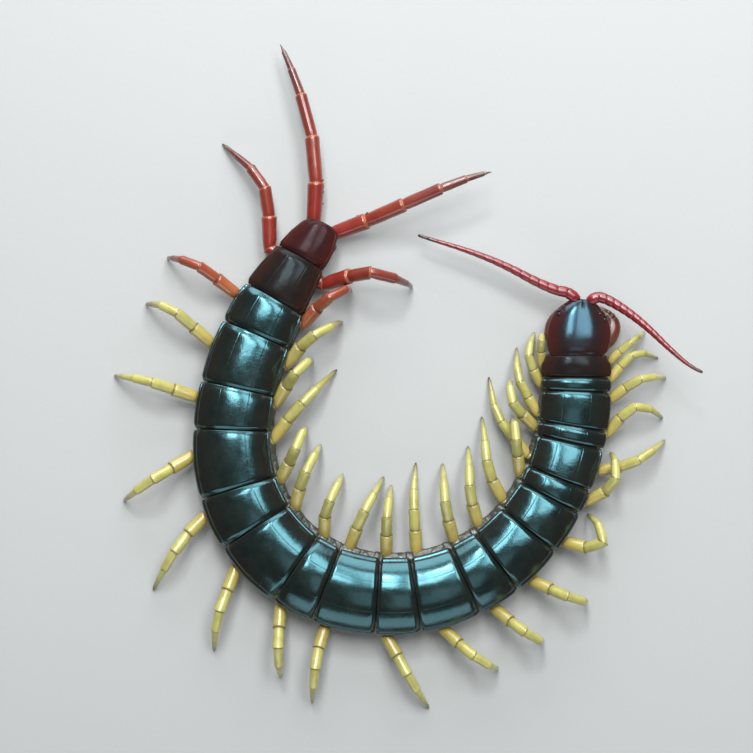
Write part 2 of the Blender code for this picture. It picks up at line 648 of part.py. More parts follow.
def make_antenna(side):
    """Make one antenna as a row of tapering articles, on the right for side 1."""
    place = head_place(side * ANTENNA_ROOT, HEAD_STATION[-1] + GAP, ANTENNA_HEIGHT)
    share = np.linspace(0.0, 1.0, ANTENNA_ARTICLES + 1)
    turn = HEAD_HEADING + np.interp(share, ANTENNA_KNOTS, ANTENNA_TURN[side])
    pitch = np.interp(share, ANTENNA_KNOTS, ANTENNA_PITCH[side])
    radius = ANTENNA_TIP_RADIUS + (ANTENNA_ROOT_RADIUS - ANTENNA_TIP_RADIUS) * (1.0 - share)
    length = ANTENNA_LENGTH[side] / ANTENNA_ARTICLES
    ahead = direction(HEAD_HEADING, 0.0)
    rings = [tube_ring(place, ahead, sideways(HEAD_HEADING), radius[0], radius[0], ANTENNA_SIDES)]
    for index in range(ANTENNA_ARTICLES):
        way = direction(turn[index], pitch[index])
        place = place + way * length
        normal = way + direction(turn[index + 1], pitch[index + 1])
        normal = normal / np.linalg.norm(normal)
        across = sideways(0.5 * (turn[index] + turn[index + 1]))
        shapes = ((-JOINT_STEP, 1.0), (JOINT_STEP, ANTENNA_WAIST))
        if index == ANTENNA_ARTICLES - 1:
            shapes = ((0.0, ANTENNA_END),)
        for shift, thickness in shapes:
            wide = thickness * radius[index + 1]
            rings.append(tube_ring(place + normal * shift, normal, across, wide, wide, ANTENNA_SIDES))
    antenna = mesh_object("antenna_" + SIDE_NAME[-side], rings)
    finish(antenna, ANTENNA_CRIMSON)


for old in list(bpy.data.objects):
    bpy.data.objects.remove(old)

make_head()
make_trunk()
for side in (-1, 1):
    make_forcipule(side)
    make_antenna(side)
    make_ultimate(side)
for pair in range(SEGMENTS - 1):
    make_leg(pair, 1, LEFT_POSE[pair])
    make_leg(pair, -1, RIGHT_POSE[pair])
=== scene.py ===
"""Looks of the giant centipede: plates, soft flanks, head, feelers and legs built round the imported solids."""

import math

import bpy
import numpy as np
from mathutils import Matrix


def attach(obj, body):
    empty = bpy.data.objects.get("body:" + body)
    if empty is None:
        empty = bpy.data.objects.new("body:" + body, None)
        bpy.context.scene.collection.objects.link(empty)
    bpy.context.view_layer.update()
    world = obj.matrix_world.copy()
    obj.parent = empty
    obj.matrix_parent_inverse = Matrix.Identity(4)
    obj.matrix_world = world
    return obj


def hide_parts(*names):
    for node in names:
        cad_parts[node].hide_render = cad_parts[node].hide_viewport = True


bl_info = {
    "name": "Giant Centipede",
    "version": (1, 0, 0),
    "blender": (4, 5, 0),
    "location": "3D View > Sidebar > Centipede",
    "description": "Builds the plates, skin, head, feelers and legs of a life-size giant centipede",
    "category": "Add Mesh",
}

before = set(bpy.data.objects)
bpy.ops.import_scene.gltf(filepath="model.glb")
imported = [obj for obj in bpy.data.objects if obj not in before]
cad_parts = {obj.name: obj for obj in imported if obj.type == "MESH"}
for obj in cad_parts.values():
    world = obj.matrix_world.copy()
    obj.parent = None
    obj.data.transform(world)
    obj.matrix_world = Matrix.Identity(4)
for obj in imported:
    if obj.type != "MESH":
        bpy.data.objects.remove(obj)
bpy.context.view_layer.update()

# Shapes are worked out in millimetres and put into meshes in metres: gap between solids, step of the middle
# line, and the upward share above which a direction counts as steep
MM = 0.001
GAP = 0.3
STEP = 0.05
STEEP = 0.95

# Sides of the trunk and its legs, and sides of the head, where across counts to the animal's right
SIDES = ((1, "left"), (-1, "right"))
HEAD_SIDES = ((1, "right"), (-1, "left"))

# Place of the neck, as in the solids
NECK_X = 38.8
NECK_Y = 4.1

# Trunk: one value per back plate, from the first to the last
PLATE_LENGTH = (4.4, 3.2, 7.8, 3.6, 8.4, 4.8, 8.6, 10.0, 8.2, 11.5, 8.6, 11.8, 7.8, 12.7,
                9.6, 13.0, 9.4, 12.8, 9.0, 11.0, 9.3)
PLATE_WIDTH = (15.4, 15.4, 15.6, 15.4, 15.2, 15.2, 15.4, 15.8, 16.2, 16.6, 17.0, 17.2, 17.4,
               17.6, 17.6, 17.4, 17.0, 16.8, 16.0, 13.6, 10.6)
TAIL_END_WIDTH = 7.8
PLATE_HEADING = (-90, -91, -95, -101, -107, -115, -124, -135, -149, -163, -178, -192, -208,
                 -226, -245, -264, -278, -289, -297, -304, -296)
HEIGHT_STATION = (0.0, 19.0, 42.0, 132.0, 150.0, 176.0, 185.5)
TOP_HEIGHT = (8.9, 8.95, 10.2, 10.2, 9.7, 8.9, 8.0)
RIM_HEIGHT = (6.8, 6.8, 7.2, 7.2, 7.1, 6.8, 6.6)
ROOT_HEIGHT = (4.2, 4.3, 4.4, 4.4, 4.4, 4.0, 4.0)
ARCH_POWER = 2.4
WALL_SHARE = 0.86
COXOPLEURA_HALF_WIDTH = 4.8
TAIL_OVERHANG = 2.0
OVERHANG_STEP = 0.2
TAIL_SWING = 1.2
BREATHING_SEGMENTS = (3, 5, 8, 10, 12, 14, 16, 18, 20)

# Back plates: gaps at both ends, the first one's lap over the neck, rows of points, bow of the rear edge
FRONT_GAP = 0.22
REAR_GAP = 0.12
NECK_LAP = 0.1
LONG_PLATE = 6.0
PLATE_ROWS = (34, 46)
REAR_BOW = 0.22
TAIL_REAR_CURVE = 0.35

# Depth and width of the bells that draw the plates' corners in
FRONT_CORNER = (0.4, 0.6)
REAR_CORNER = (0.18, 0.4)
NECK_CORNER = (0.9, 1.4)
TAIL_CORNER = (0.3, 0.9)

# Edges of every shell: share of the thickness over which they round off, and the least thickness squared
EDGE_ROUNDING = 0.55
EDGE_LEAST = 0.02
RIM_FADE = 0.35

# Dip of the front edges, and the distance and width of the raised rim and of the groove inside it
FRONT_DIP = 0.5
FIRST_FRONT_DIP = 0.15
FRONT_DIP_WIDTH = 0.6
RIM_RIDGE = (0.32, 0.17)
RIM_GROOVE = (0.78, 0.2)
RIM_GROOVE_SHARE = 0.7
SOFT_RIM_PLATES = 4
SOFT_RIM_SHARE = 0.4
SEAM_WIDTH = 0.11

# How far each back plate's rear edge rounds down, and over what length
REAR_FALL = (0.2,) * 12 + (0.4,) * 4 + (0.42,) * 3 + (0.35, 0.3)
REAR_FALL_LENGTH = (0.35,) * 12 + (0.75,) * 4 + (1.0,) * 3 + (0.8, 0.6)

# How far the middle of each back plate is tilted: its rear end up and its front end down, or the other way
REAR_LIFT = (-0.08, -0.08, -0.22, -0.11, 0.2, 0.0, 0.15, 0.25, 0.15, 0.0, 0.0, 0.0, 0.1, 0.1, 0.1, 0.1,
             0.0, 0.0, 0.0, 0.0, 0.0)

# Belly plates: height, thickness as a share of the back plates', place of the two raised lines
BELLY_HEIGHT = 1.52
BELLY_THICKNESS = 0.8
BELLY_LINE = 0.46

# Skin: number of rings and points on each, first station, middle height of the flank, pitch of its folds and
# creases, and the bend in radians per millimetre at which the inner flank bulges in full
SKIN_ROWS = 880
SKIN_POINTS = 108
SKIN_START = -1.6
FLANK_HEIGHT = 4.6
FOLD_PITCH = 0.92
CREASE_PITCH = 0.85
FULL_BEND = 0.027

# Round each leg root: small hard plates, each with its place behind and above the root, half length and half
# height; the radius of the hip's mound; and the breathing hole's place behind and above the root
SMALL_PLATES = ((-2.5, 1.0, 0.9, 0.75), (0.2, 2.05, 1.5, 0.42), (2.45, 0.95, 0.8, 0.8),
                (-2.3, -0.9, 0.7, 0.55), (2.0, -1.2, 0.85, 0.45))
HIP_MOUND = 1.75
BREATHING_HOLE = (2.3, 1.75)

# Walking legs: root station, size and pose of each pair
LEG_STATION = (2.2, 5.6, 10.5, 16.8, 23.0, 29.8, 38.0, 47.6, 56.6, 66.8, 76.8, 87.6, 97.0, 108.0,
               118.4, 129.9, 140.9, 152.0, 163.0, 173.5)
LEG_SIZE = (0.62, 0.72, 0.82, 0.90, 0.95, 0.97, 1.0, 1.0, 1.0, 1.0, 1.0, 1.0, 1.0, 1.06, 1.06,
            1.08, 1.06, 1.06, 1.08, 1.34)
GIRTH_POWER = 0.6
ARTICLE_LENGTH = (1.2, 5.4, 4.8, 4.4, 3.8, 2.6, 1.5)
ARTICLE_START = (1.35, 1.3, 1.2, 1.02, 0.8, 0.56, 0.36)
ARTICLE_END = (1.35, 1.48, 1.25, 1.0, 0.64, 0.44, 0.26)
ARCH = (0.0, 20.0, 30.0, -18.0, -44.0, -54.0, -66.0)
KNEE_WIDTH = 2.4
FOOT_CLEARANCE = 0.01

# Pose of each left leg: swing of the thigh, swing of the foot, reach, knee and shift of the root
LEFT_POSE = (
    (85, 112, 7.6, 2.6, -0.5), (60, 114, 13.7, 2.6, 0.7), (52, 88, 17.2, 2.8, 3.2),
    (33, 96, 14.1, 2.8, 0.7), (32, 63, 21.4, 3.0, 2.1), (53, 67, 13.8, 2.9, 0.9),
    (22, 48, 20.9, 2.0, 1.3), (22, 40, 19.2, 2.2, 1.5), (11, 26, 18.7, 2.4, 0.9),
    (6, 16, 21.5, 3.2, 2.0), (-2, 9, 16.6, 2.8, 0.8), (2, 12, 19.0, 2.2, 1.0),
    (-33, -7, 15.8, 1.6, 0.0), (-42, -27, 16.6, 1.6, 1.6), (-42, -54, 14.6, 3.0, 1.0),
    (-53, -44, 22.8, 1.6, 1.8), (-68, -57, 14.2, 1.8, 0.8), (-72, -50, 17.2, 1.6, 0.4),
    (-72, -52, 14.9, 1.6, 0.2), (-39, -11, 21.9, 2.2, 0.3),
)

# Pose of each right leg
RIGHT_POSE = (
    (44, 35, 11.9, 2.0, -1.2), (52, -13, 15.2, 2.8, -0.6), (40, 2, 15.7, 2.6, -1.4),
    (62, -18, 17.5, 2.6, -0.8), (26, 49, 18.5, 1.8, 0.4), (54, 113, 14.9, 2.0, 0.0),
    (21, 160, 15.9, 2.4, 0.5), (22, 29, 14.9, 1.6, 0.5), (20, 29, 14.9, 1.6, 0.0),
    (32, 41, 17.0, 1.6, 0.0), (31, 31, 20.9, 3.6, 0.5), (-2, 11, 19.3, 1.6, 0.8),
    (29, 33, 17.6, 2.0, 0.2), (30, 41, 21.4, 2.8, -0.5), (22, 37, 22.5, 1.6, -0.3),
    (29, 31, 20.4, 3.0, -0.8), (-9, 2, 21.2, 3.0, -0.8), (-21, 11, 19.6, 3.0, -1.0),
    (-4, 17, 19.6, 2.6, -0.8), (-50, -4, 30.2, 2.6, 0.9),
)

# Trailing legs of the last segment
ULTIMATE_LENGTH = (10.1, 10.3, 9.9, 6.5, 4.6, 1.9)
ULTIMATE_SCALE = {1: 0.92, -1: 1.0}
ULTIMATE_START = (1.6, 1.55, 1.35, 1.05, 0.75, 0.42)
ULTIMATE_END = (1.9, 1.65, 1.35, 0.9, 0.55, 0.1)
ULTIMATE_ROOT_OFFSET = 2.05
ULTIMATE_ROOT_HEIGHT = 3.6
ULTIMATE_TURN = {1: (-45, -43, -42, -43, -46, -50), -1: (22, 31, 41, 46, 49, 51)}
ULTIMATE_PITCH = {1: (14, 20, 13, 0, -10, -16), -1: (12, 5, -2, -7, -10, -14)}
SPINE_PLACES = ((0.42, -0.5), (0.66, 0.1), (0.72, -0.9), (0.93, 0.5))
SPINE_LENGTH = 1.455
SPINE_RADIUS = 0.42

# Head
HEAD_HEADING = 83.0
NECK_BEND = (0.2, 2.6)
HEAD_STATION = (0.15, 1.2, 3.2, 5.6, 8.0, 10.0, 11.6, 12.6, 12.9)
HEAD_HALF_WIDTH = (5.6, 6.4, 6.9, 7.0, 6.5, 5.5, 4.0, 2.4, 1.2)
HEAD_TOP = (8.4, 8.7, 8.9, 8.9, 8.6, 8.1, 7.4, 6.8, 6.4)
HEAD_BOTTOM = (4.8, 4.8, 4.8, 4.8, 4.8, 4.8, 4.9, 5.1, 5.4)
COXOSTERNITE_STATION = (0.15, 1.6, 4.6, 6.4, 7.4)
COXOSTERNITE_HALF_WIDTH = (5.0, 4.9, 4.7, 3.4, 2.2)
COXOSTERNITE_BOTTOM = 1.6
COXOSTERNITE_TOP = 5.4

# Eyes: distance from the neck and angle up the side of the head of each, radius, rise and depth in the cheek
EYE_PLACES = ((9.0, 34.0), (9.8, 20.0), (10.1, 46.0), (10.8, 30.0))
EYE_RADIUS = 0.36
EYE_RISE = 0.3
EYE_SINK = 0.08

# Poison claws: places across and forward along the hook, and half sizes there
FORCIPULE_PATH = ((5.15, 3.5), (6.0, 4.8), (6.2, 7.0), (5.6, 8.9), (4.3, 10.3), (2.9, 10.9),
                  (1.4, 10.9))
FORCIPULE_HALF_WIDTH = (1.7, 1.9, 1.8, 1.4, 0.95, 0.6, 0.14)
FORCIPULE_HALF_HEIGHT = (1.35, 1.4, 1.35, 1.1, 0.8, 0.5, 0.14)
FORCIPULE_HEIGHT = 3.05
FORCIPULE_SPREAD = {-1: -0.8, 1: 1.6}
FORCIPULE_ADVANCE = {-1: 0.0, 1: 0.8}

# Head shield: its top at the head's stations, the gap down to the capsule and its ends from the neck
SHIELD_TOP = (8.5, 8.85, 9.05, 9.05, 8.8, 8.4, 7.95, 7.55, 7.35)
SHIELD_CLEARANCE = 0.6
SHIELD_FRONT = 12.98
SHIELD_REAR = -0.42
SHIELD_POWER = 2.6

# Feelers
ANTENNA_ARTICLES = 17
ANTENNA_LENGTH = {-1: 38.3, 1: 30.5}
ANTENNA_ROOT_RADIUS = 1.3
ANTENNA_TIP_RADIUS = 0.34
ANTENNA_ROOT = 1.8
ANTENNA_HEIGHT = 6.4
ANTENNA_KNOTS = (0.0, 0.04, 0.12, 0.3, 0.55, 0.8, 1.0)
ANTENNA_TURN = {-1: (65, 91, 76, 68, 75, 80, 77), 1: (-63, -100, -113, -122, -130, -125, -103)}
ANTENNA_PITCH = {-1: (4, 4, 3, 0, -4, -6, -8), 1: (6, 8, 12, 14, 12, 8, 2)}

# Stage: floor, lamps, lamp colour and camera in metres, each lamp with its place, its aim and its size
FLOOR_REACH = 0.4
LAMPS = (
    ("strip", (-0.06, 0.345, 0.6), (-0.06, 0.345, 0.0), (0.14, 0.51)),
    ("bar", (-0.08, 0.46, 0.59), (-0.08, 0.46, 0.0), (0.09, 0.11)),
    ("skylight", (0.2, 0.33, 0.6), (0.2, 0.33, 0.0), (0.22, 0.56)),
    ("glow", (0.0, 0.75, 0.3), (0.0, 0.0, 0.0), (0.8, 0.4)),
    ("fill", (0.06, -0.18, 0.6), (0.06, -0.18, 0.0), (0.18, 0.24)),
    ("bounce", (0.0, -0.8, 0.35), (0.0, 0.0, 0.0), (1.0, 0.4)),
)
LAMP_COLOUR = (0.95, 0.99, 1.0)
SKY_COLOUR = (0.93, 0.97, 1.0)
CAMERA_PLACE = (-0.006, -0.0123, 0.3498)
CAMERA_TILT = 2.0
SENSOR_WIDTH = 36.0

# Darkest colours of the finishes; the first two are painted shade, in the breathing holes and under the plates
HOLE_SHADE = (0.008, 0.007, 0.006)
UNDER_PLATE_SHADE = (0.008, 0.008, 0.008)
CLAW_BLACK = (0.02, 0.014, 0.01)
TIP_BLACK = (0.022, 0.012, 0.01)

# Legs whose colours aren't settings: colour at each place along the articles
DUSKY_FOOT = ((5.0, (0.19, 0.1, 0.055)), (6.2, (0.09, 0.05, 0.035)))
ORANGE_STOPS = ((0.0, (0.24, 0.07, 0.03)), (1.2, (0.33, 0.1, 0.035)), (2.4, (0.29, 0.058, 0.024)),
                (4.0, (0.18, 0.03, 0.02)), (5.2, (0.09, 0.018, 0.018)), (6.3, (0.05, 0.02, 0.02)))
RED_STOPS = ((0.0, (0.15, 0.016, 0.012)), (1.2, (0.21, 0.019, 0.013)), (2.6, (0.2, 0.03, 0.016)),
             (4.0, (0.14, 0.024, 0.018)), (5.2, (0.085, 0.028, 0.028)), (6.3, (0.13, 0.09, 0.07)))

LAST = len(PLATE_LENGTH) - 1
PAIRS = len(LEG_SIZE)
BORDERS = np.concatenate(([0.0], np.cumsum(PLATE_LENGTH)))
CENTRES = (BORDERS[:-1] + BORDERS[1:]) / 2.0
BODY_LENGTH = float(BORDERS[-1])
BODY_END = BODY_LENGTH - TAIL_OVERHANG


# Curves and small helpers
def spread(count, crowd):
    """Shares from 0 to 1 that crowd towards both ends: t - crowd * sin(2 pi t) / (2 pi)."""
    share = np.linspace(0.0, 1.0, count)
    return share - crowd * np.sin(2.0 * math.pi * share) / (2.0 * math.pi)


def bell(distance, width):
    """Gauss curve: exp(-(distance / width) squared)."""
    return np.exp(-(np.asarray(distance) / width) ** 2)


def ease(value, low, high):
    """Smooth step from 0 at low to 1 at high: 3 t^2 - 2 t^3."""
    share = np.clip((np.asarray(value, float) - low) / (high - low), 0.0, 1.0)
    return share * share * (3.0 - 2.0 * share)


def smooth_table(value, places, numbers):
    """Cubic Hermite curve through a table, its slopes the weighted means of the steps on both sides."""
    places = np.asarray(places, float)
    numbers = np.asarray(numbers, float)
    step = np.diff(places)
    rise = np.diff(numbers) / step
    inner = (rise[:-1] * step[1:] + rise[1:] * step[:-1]) / (step[1:] + step[:-1])
    slope = np.concatenate(([rise[0]], inner, [rise[-1]]))
    value = np.clip(np.asarray(value, float), places[0], places[-1])
    index = np.clip(np.searchsorted(places, value, side="right") - 1, 0, len(step) - 1)
    width = step[index]
    t = (value - places[index]) / width
    return ((2.0 * t ** 3 - 3.0 * t ** 2 + 1.0) * numbers[index]
            + (t ** 3 - 2.0 * t ** 2 + t) * width * slope[index]
            + (3.0 * t ** 2 - 2.0 * t ** 3) * numbers[index + 1]
            + (t ** 3 - t ** 2) * width * slope[index + 1])


def unit(vectors):
    """Vectors scaled to length one along the last axis."""
    return vectors / np.linalg.norm(vectors, axis=-1, keepdims=True)


def compass(turn, pitch=0.0):
    """Unit vectors with a compass turn and a pitch in degrees: (cos p cos t, cos p sin t, sin p)."""
    turn, pitch = np.broadcast_arrays(np.radians(turn), np.radians(pitch))
    flat = np.cos(pitch)
    return np.stack((flat * np.cos(turn), flat * np.sin(turn), np.sin(pitch)), -1)


def to_right(turn):
    """Horizontal unit vectors to the right of a compass turn in degrees: (sin t, -cos t, 0)."""
    turn = np.radians(np.asarray(turn, float))
    return np.stack((np.sin(turn), -np.cos(turn), np.zeros_like(turn)), -1)


# The body's middle line and its measures
def midline():
    """Stations, positions and headings of the middle line: the heading's unit vector summed in steps."""
    stations = np.arange(0.0, BODY_LENGTH + 3.0, STEP)
    heading = np.radians(np.interp(stations, CENTRES, PLATE_HEADING))
    x = NECK_X + STEP * np.concatenate(([0.0], np.cumsum(np.cos(heading[:-1]))))
    y = NECK_Y + STEP * np.concatenate(([0.0], np.cumsum(np.sin(heading[:-1]))))
    return stations, x, y, heading


LINE_STATION, LINE_X, LINE_Y, LINE_HEADING = midline()


def frame_at(station):
    """Point, tailward direction and left direction at each station, straight on past both ends."""
    station = np.asarray(station, float)
    inside = np.clip(station, LINE_STATION[0], LINE_STATION[-1])
    heading = np.interp(inside, LINE_STATION, LINE_HEADING)
    zero = np.zeros_like(heading)
    back = np.stack((np.cos(heading), np.sin(heading), zero), -1)
    left = np.stack((np.sin(heading), -np.cos(heading), zero), -1)
    x, y = (np.interp(inside, LINE_STATION, line) for line in (LINE_X, LINE_Y))
    point = np.stack((x, y, zero), -1)
    return point + back * (station - inside)[..., None], back, left


def on_trunk(station, offset, height):
    """Points given along the body, sideways to the left and up, each an array of one shape."""
    station, offset, height = np.broadcast_arrays(station, offset, height)
    point, back, left = frame_at(station)
    placed = point + left * offset[..., None]
    placed[..., 2] = height
    return placed


def half_width(station):
    """Half the trunk's width at each station, straight between the plates' middles."""
    return 0.5 * np.interp(station, np.append(CENTRES, BODY_LENGTH), np.append(PLATE_WIDTH, TAIL_END_WIDTH))


def arch_height(station, share):
    """Height of the back over a share of the half width: rim + (top - rim) (1 - |share|^2.4)."""
    top = smooth_table(station, HEIGHT_STATION, TOP_HEIGHT)
    rim = smooth_table(station, HEIGHT_STATION, RIM_HEIGHT)
    return rim + (top - rim) * (1.0 - np.abs(share) ** ARCH_POWER)


def tail_swing(station):
    """How far the last segment leans to the left at each station: evenly more from its front to its rear."""
    return TAIL_SWING * np.maximum(0.0, station - BORDERS[LAST]) / PLATE_LENGTH[LAST]


def wall_offset(station):
    """Distance of the solids' side wall from the middle at one station."""
    return WALL_SHARE * float(half_width(station))


def wall_face(station, side, reach):
    """Middle of the wall about a station and the horizontal direction square to it."""
    ends = [on_trunk(near, side * wall_offset(near), 0.0) for near in (station - reach, station + reach)]
    along = unit(ends[1] - ends[0])
    return 0.5 * (ends[0] + ends[1]), np.array((along[1], -along[0], 0.0)) * side


def head_place(across, forward, height):
    """Points given across the head to the right, forward of the neck and up."""
    across, forward, height = np.broadcast_arrays(across, forward, height)
    point, back, left = frame_at(0.0)
    neck_turn = math.degrees(math.atan2(-back[1], -back[0]))
    right = to_right(np.interp(forward, NECK_BEND, (neck_turn, HEAD_HEADING)))
    placed = point + compass(HEAD_HEADING) * forward[..., None] + right * across[..., None]
    placed[..., 2] = height
    return placed


# Closed shapes: each is (points, faces, values on the points)
def lofted(rings, values=None, cap="fan"):
    """Skin over rings of points (n, m, 3), closed round each ring and over both end rings.

    A fan end gets one middle point; a zip end joins point i of the ring to point m - 1 - i."""
    rows, columns = rings.shape[:2]
    row, column = np.meshgrid(np.arange(rows - 1), np.arange(columns), indexing="ij")
    after = (column + 1) % columns
    quads = np.stack((row * columns + column, row * columns + after,
                      (row + 1) * columns + after, (row + 1) * columns + column), -1).reshape(-1, 4)
    points = rings.reshape(-1, 3)
    marks = {name: np.broadcast_to(value, (rows, columns)).reshape(-1)
             for name, value in (values or {}).items()}
    ends = (0, (rows - 1) * columns)
    if cap == "fan":
        first, second = len(points), len(points) + 1
        ring = np.arange(columns)
        turned = (ring + 1) % columns
        front = np.stack((np.full(columns, first), turned, ring), -1)
        rear = np.stack((np.full(columns, second), ends[1] + ring, ends[1] + turned), -1)
        triangles = np.concatenate((front, rear))
        points = np.concatenate((points, rings[0].mean(0)[None], rings[-1].mean(0)[None]))
        marks = {name: np.concatenate((flat, [flat[:columns].mean(), flat[-columns:].mean()]))
                 for name, flat in marks.items()}
        return points, [quads, triangles], marks
    low = np.arange(columns // 2 - 1)
    high = columns - 1 - low
    front = np.stack((low + 1, low, high, high - 1), -1)
    rear = np.stack((low, low + 1, high - 1, high), -1) + ends[1]
    return points, [np.concatenate((quads, front, rear)), np.zeros((0, 3), int)], marks


def outward(shape):
    """The shape with its faces turned out: they are flipped where six times the volume is negative."""
    points, (quads, triangles), marks = shape
    corners = np.concatenate((quads[:, (0, 1, 2)], quads[:, (0, 2, 3)], triangles))
    middle = points.mean(0)
    a, b, c = (points[corners[:, k]] - middle for k in range(3))
    if np.einsum("ij,ij->", a, np.cross(b, c)) < 0.0:
        return points, [quads[:, ::-1], triangles[:, ::-1]], marks
    return shape


def swept(centres, normals, across, wide, tall, count, values=None):
    """Rings carried along a path, square to its normals: centre + wide cos(a) across + tall sin(a) up."""
    side = unit(across - normals * np.sum(across * normals, -1, keepdims=True))
    up = np.cross(side, normals)
    angle = 2.0 * math.pi * (np.arange(count) + 0.5) / count
    rings = (centres[:, None] + (wide[:, None] * np.cos(angle))[..., None] * side[:, None]
             + (tall[:, None] * np.sin(angle))[..., None] * up[:, None])
    return outward(lofted(rings, values))


def cone(root, way, length, radius, count, values=None):
    """Spine with a round tip along a straight way: radius sqrt(1 - 0.97 t^1.6)."""
    share = np.array((0.0, 0.15, 0.35, 0.55, 0.75, 0.9, 0.97, 1.0))
    girth = radius * np.sqrt(1.0 - 0.97 * share ** 1.6)
    centres = root + way * (length * share)[:, None]
    helper = np.cross(way, (0.0, 0.0, 1.0)) if abs(way[2]) < STEEP else np.array((1.0, 0.0, 0.0))
    marks = {name: np.broadcast_to(np.asarray(value, float), (len(share),))[:, None]
             for name, value in (values or {}).items()}
    rows = (len(share), 1)
    return swept(centres, np.tile(way, rows), np.tile(helper, rows), girth, girth, count, marks)


def dome(centre, axis, radius, rise, count):
    """Lens: a ball squeezed along its axis, radius cos(b) round and rise sin(b) along it."""
    bend = np.linspace(-0.5, 0.5, 13)[1:-1] * math.pi
    helper = np.cross(axis, (0.0, 0.0, 1.0))
    centres = centre + axis * (rise * np.sin(bend))[:, None]
    girth = radius * np.cos(bend)
    rows = (len(bend), 1)
    return swept(centres, np.tile(axis, rows), np.tile(helper, rows), girth, girth, count)


def shell(place, first, second, middle, thick, gaps, values):
    """Closed shell about a middle sheet, put in place by a function of two coordinates and the height.

    Its thickness falls off in a quarter circle towards the edges, whose distances are the three gaps."""
    front, rear, side = gaps
    edge = np.minimum(np.minimum(front, rear), np.maximum(side, 0.0))
    share = np.clip(edge / (EDGE_ROUNDING * thick), 0.0, 1.0)
    slim = np.sqrt(np.clip(1.0 - (1.0 - share) ** 2, EDGE_LEAST, 1.0))
    upper = place(first, second, middle + 0.5 * thick * slim)
    lower = place(first, second, middle - 0.5 * thick * slim)
    rings = np.concatenate((upper, lower[:, ::-1]), 1)
    doubled = {name: np.tile(np.broadcast_to(value, middle.shape), (1, 2)) for name, value in values.items()}
    return outward(lofted(rings, doubled, "zip"))


def plate_marks(share, from_rear, from_side):
    """Values that the finishes of hard plates read: share of the half width, and a rim that fades inwards."""
    return {"side": np.abs(share), "rim": np.exp(-np.minimum(from_rear, from_side) / RIM_FADE)}


def build_piece(name, shapes, finish, nodes):
    """Put closed shapes into one smooth mesh object that replaces solids and rides on the still body."""
    points = np.concatenate([shape[0] for shape in shapes])
    starts = np.cumsum([0] + [len(shape[0]) for shape in shapes[:-1]])
    quads = np.concatenate([shape[1][0] + start for shape, start in zip(shapes, starts)])
    triangles = np.concatenate([shape[1][1] + start for shape, start in zip(shapes, starts)])
    mesh = bpy.data.meshes.new(name)
    mesh.vertices.add(len(points))
    mesh.vertices.foreach_set("co", (points * MM).astype(np.float32).ravel())
    corners = np.concatenate((quads.ravel(), triangles.ravel())).astype(np.int32)
    totals = np.concatenate((np.full(len(quads), 4), np.full(len(triangles), 3)))
    mesh.loops.add(len(corners))
    mesh.loops.foreach_set("vertex_index", corners)
    mesh.polygons.add(len(totals))
    mesh.polygons.foreach_set("loop_start", (np.cumsum(totals) - totals).astype(np.int32))
    mesh.polygons.foreach_set("use_smooth", np.ones(len(totals), bool))
    for key in shapes[0][2]:
        layer = mesh.attributes.new(key, "FLOAT", "POINT")
        values = np.concatenate([shape[2][key] for shape in shapes])
        layer.data.foreach_set("value", values.astype(np.float32))
    mesh.update(calc_edges=True)
    mesh.validate()
    piece = bpy.data.objects.new(name, mesh)
    bpy.context.scene.collection.objects.link(piece)
    mesh.materials.append(finish)
    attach(piece, "root")
    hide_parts(*nodes)
    return piece


def trunk_node(index):
    """Name of the solid that holds a segment, counted from 0."""
    first = 2 * (index // 2) + 1
    return "trunk_21" if index == LAST else f"trunk_{first:02d}_{first + 1:02d}"


# Plates
def plate_shares(sizes):
    """Shares across a back plate from -1 to 1, closer together at the seams and the rims."""
    base = 2.0 * spread(57, 0.55) - 1.0
    seam = sizes.seam_place + np.linspace(-0.035, 0.035, 9)
    rim = 1.0 - np.array((0.006, 0.014, 0.024, 0.036, 0.05, 0.066, 0.084, 0.104))
    return np.unique(np.round(np.concatenate((base, seam, -seam, rim, -rim)), 5))


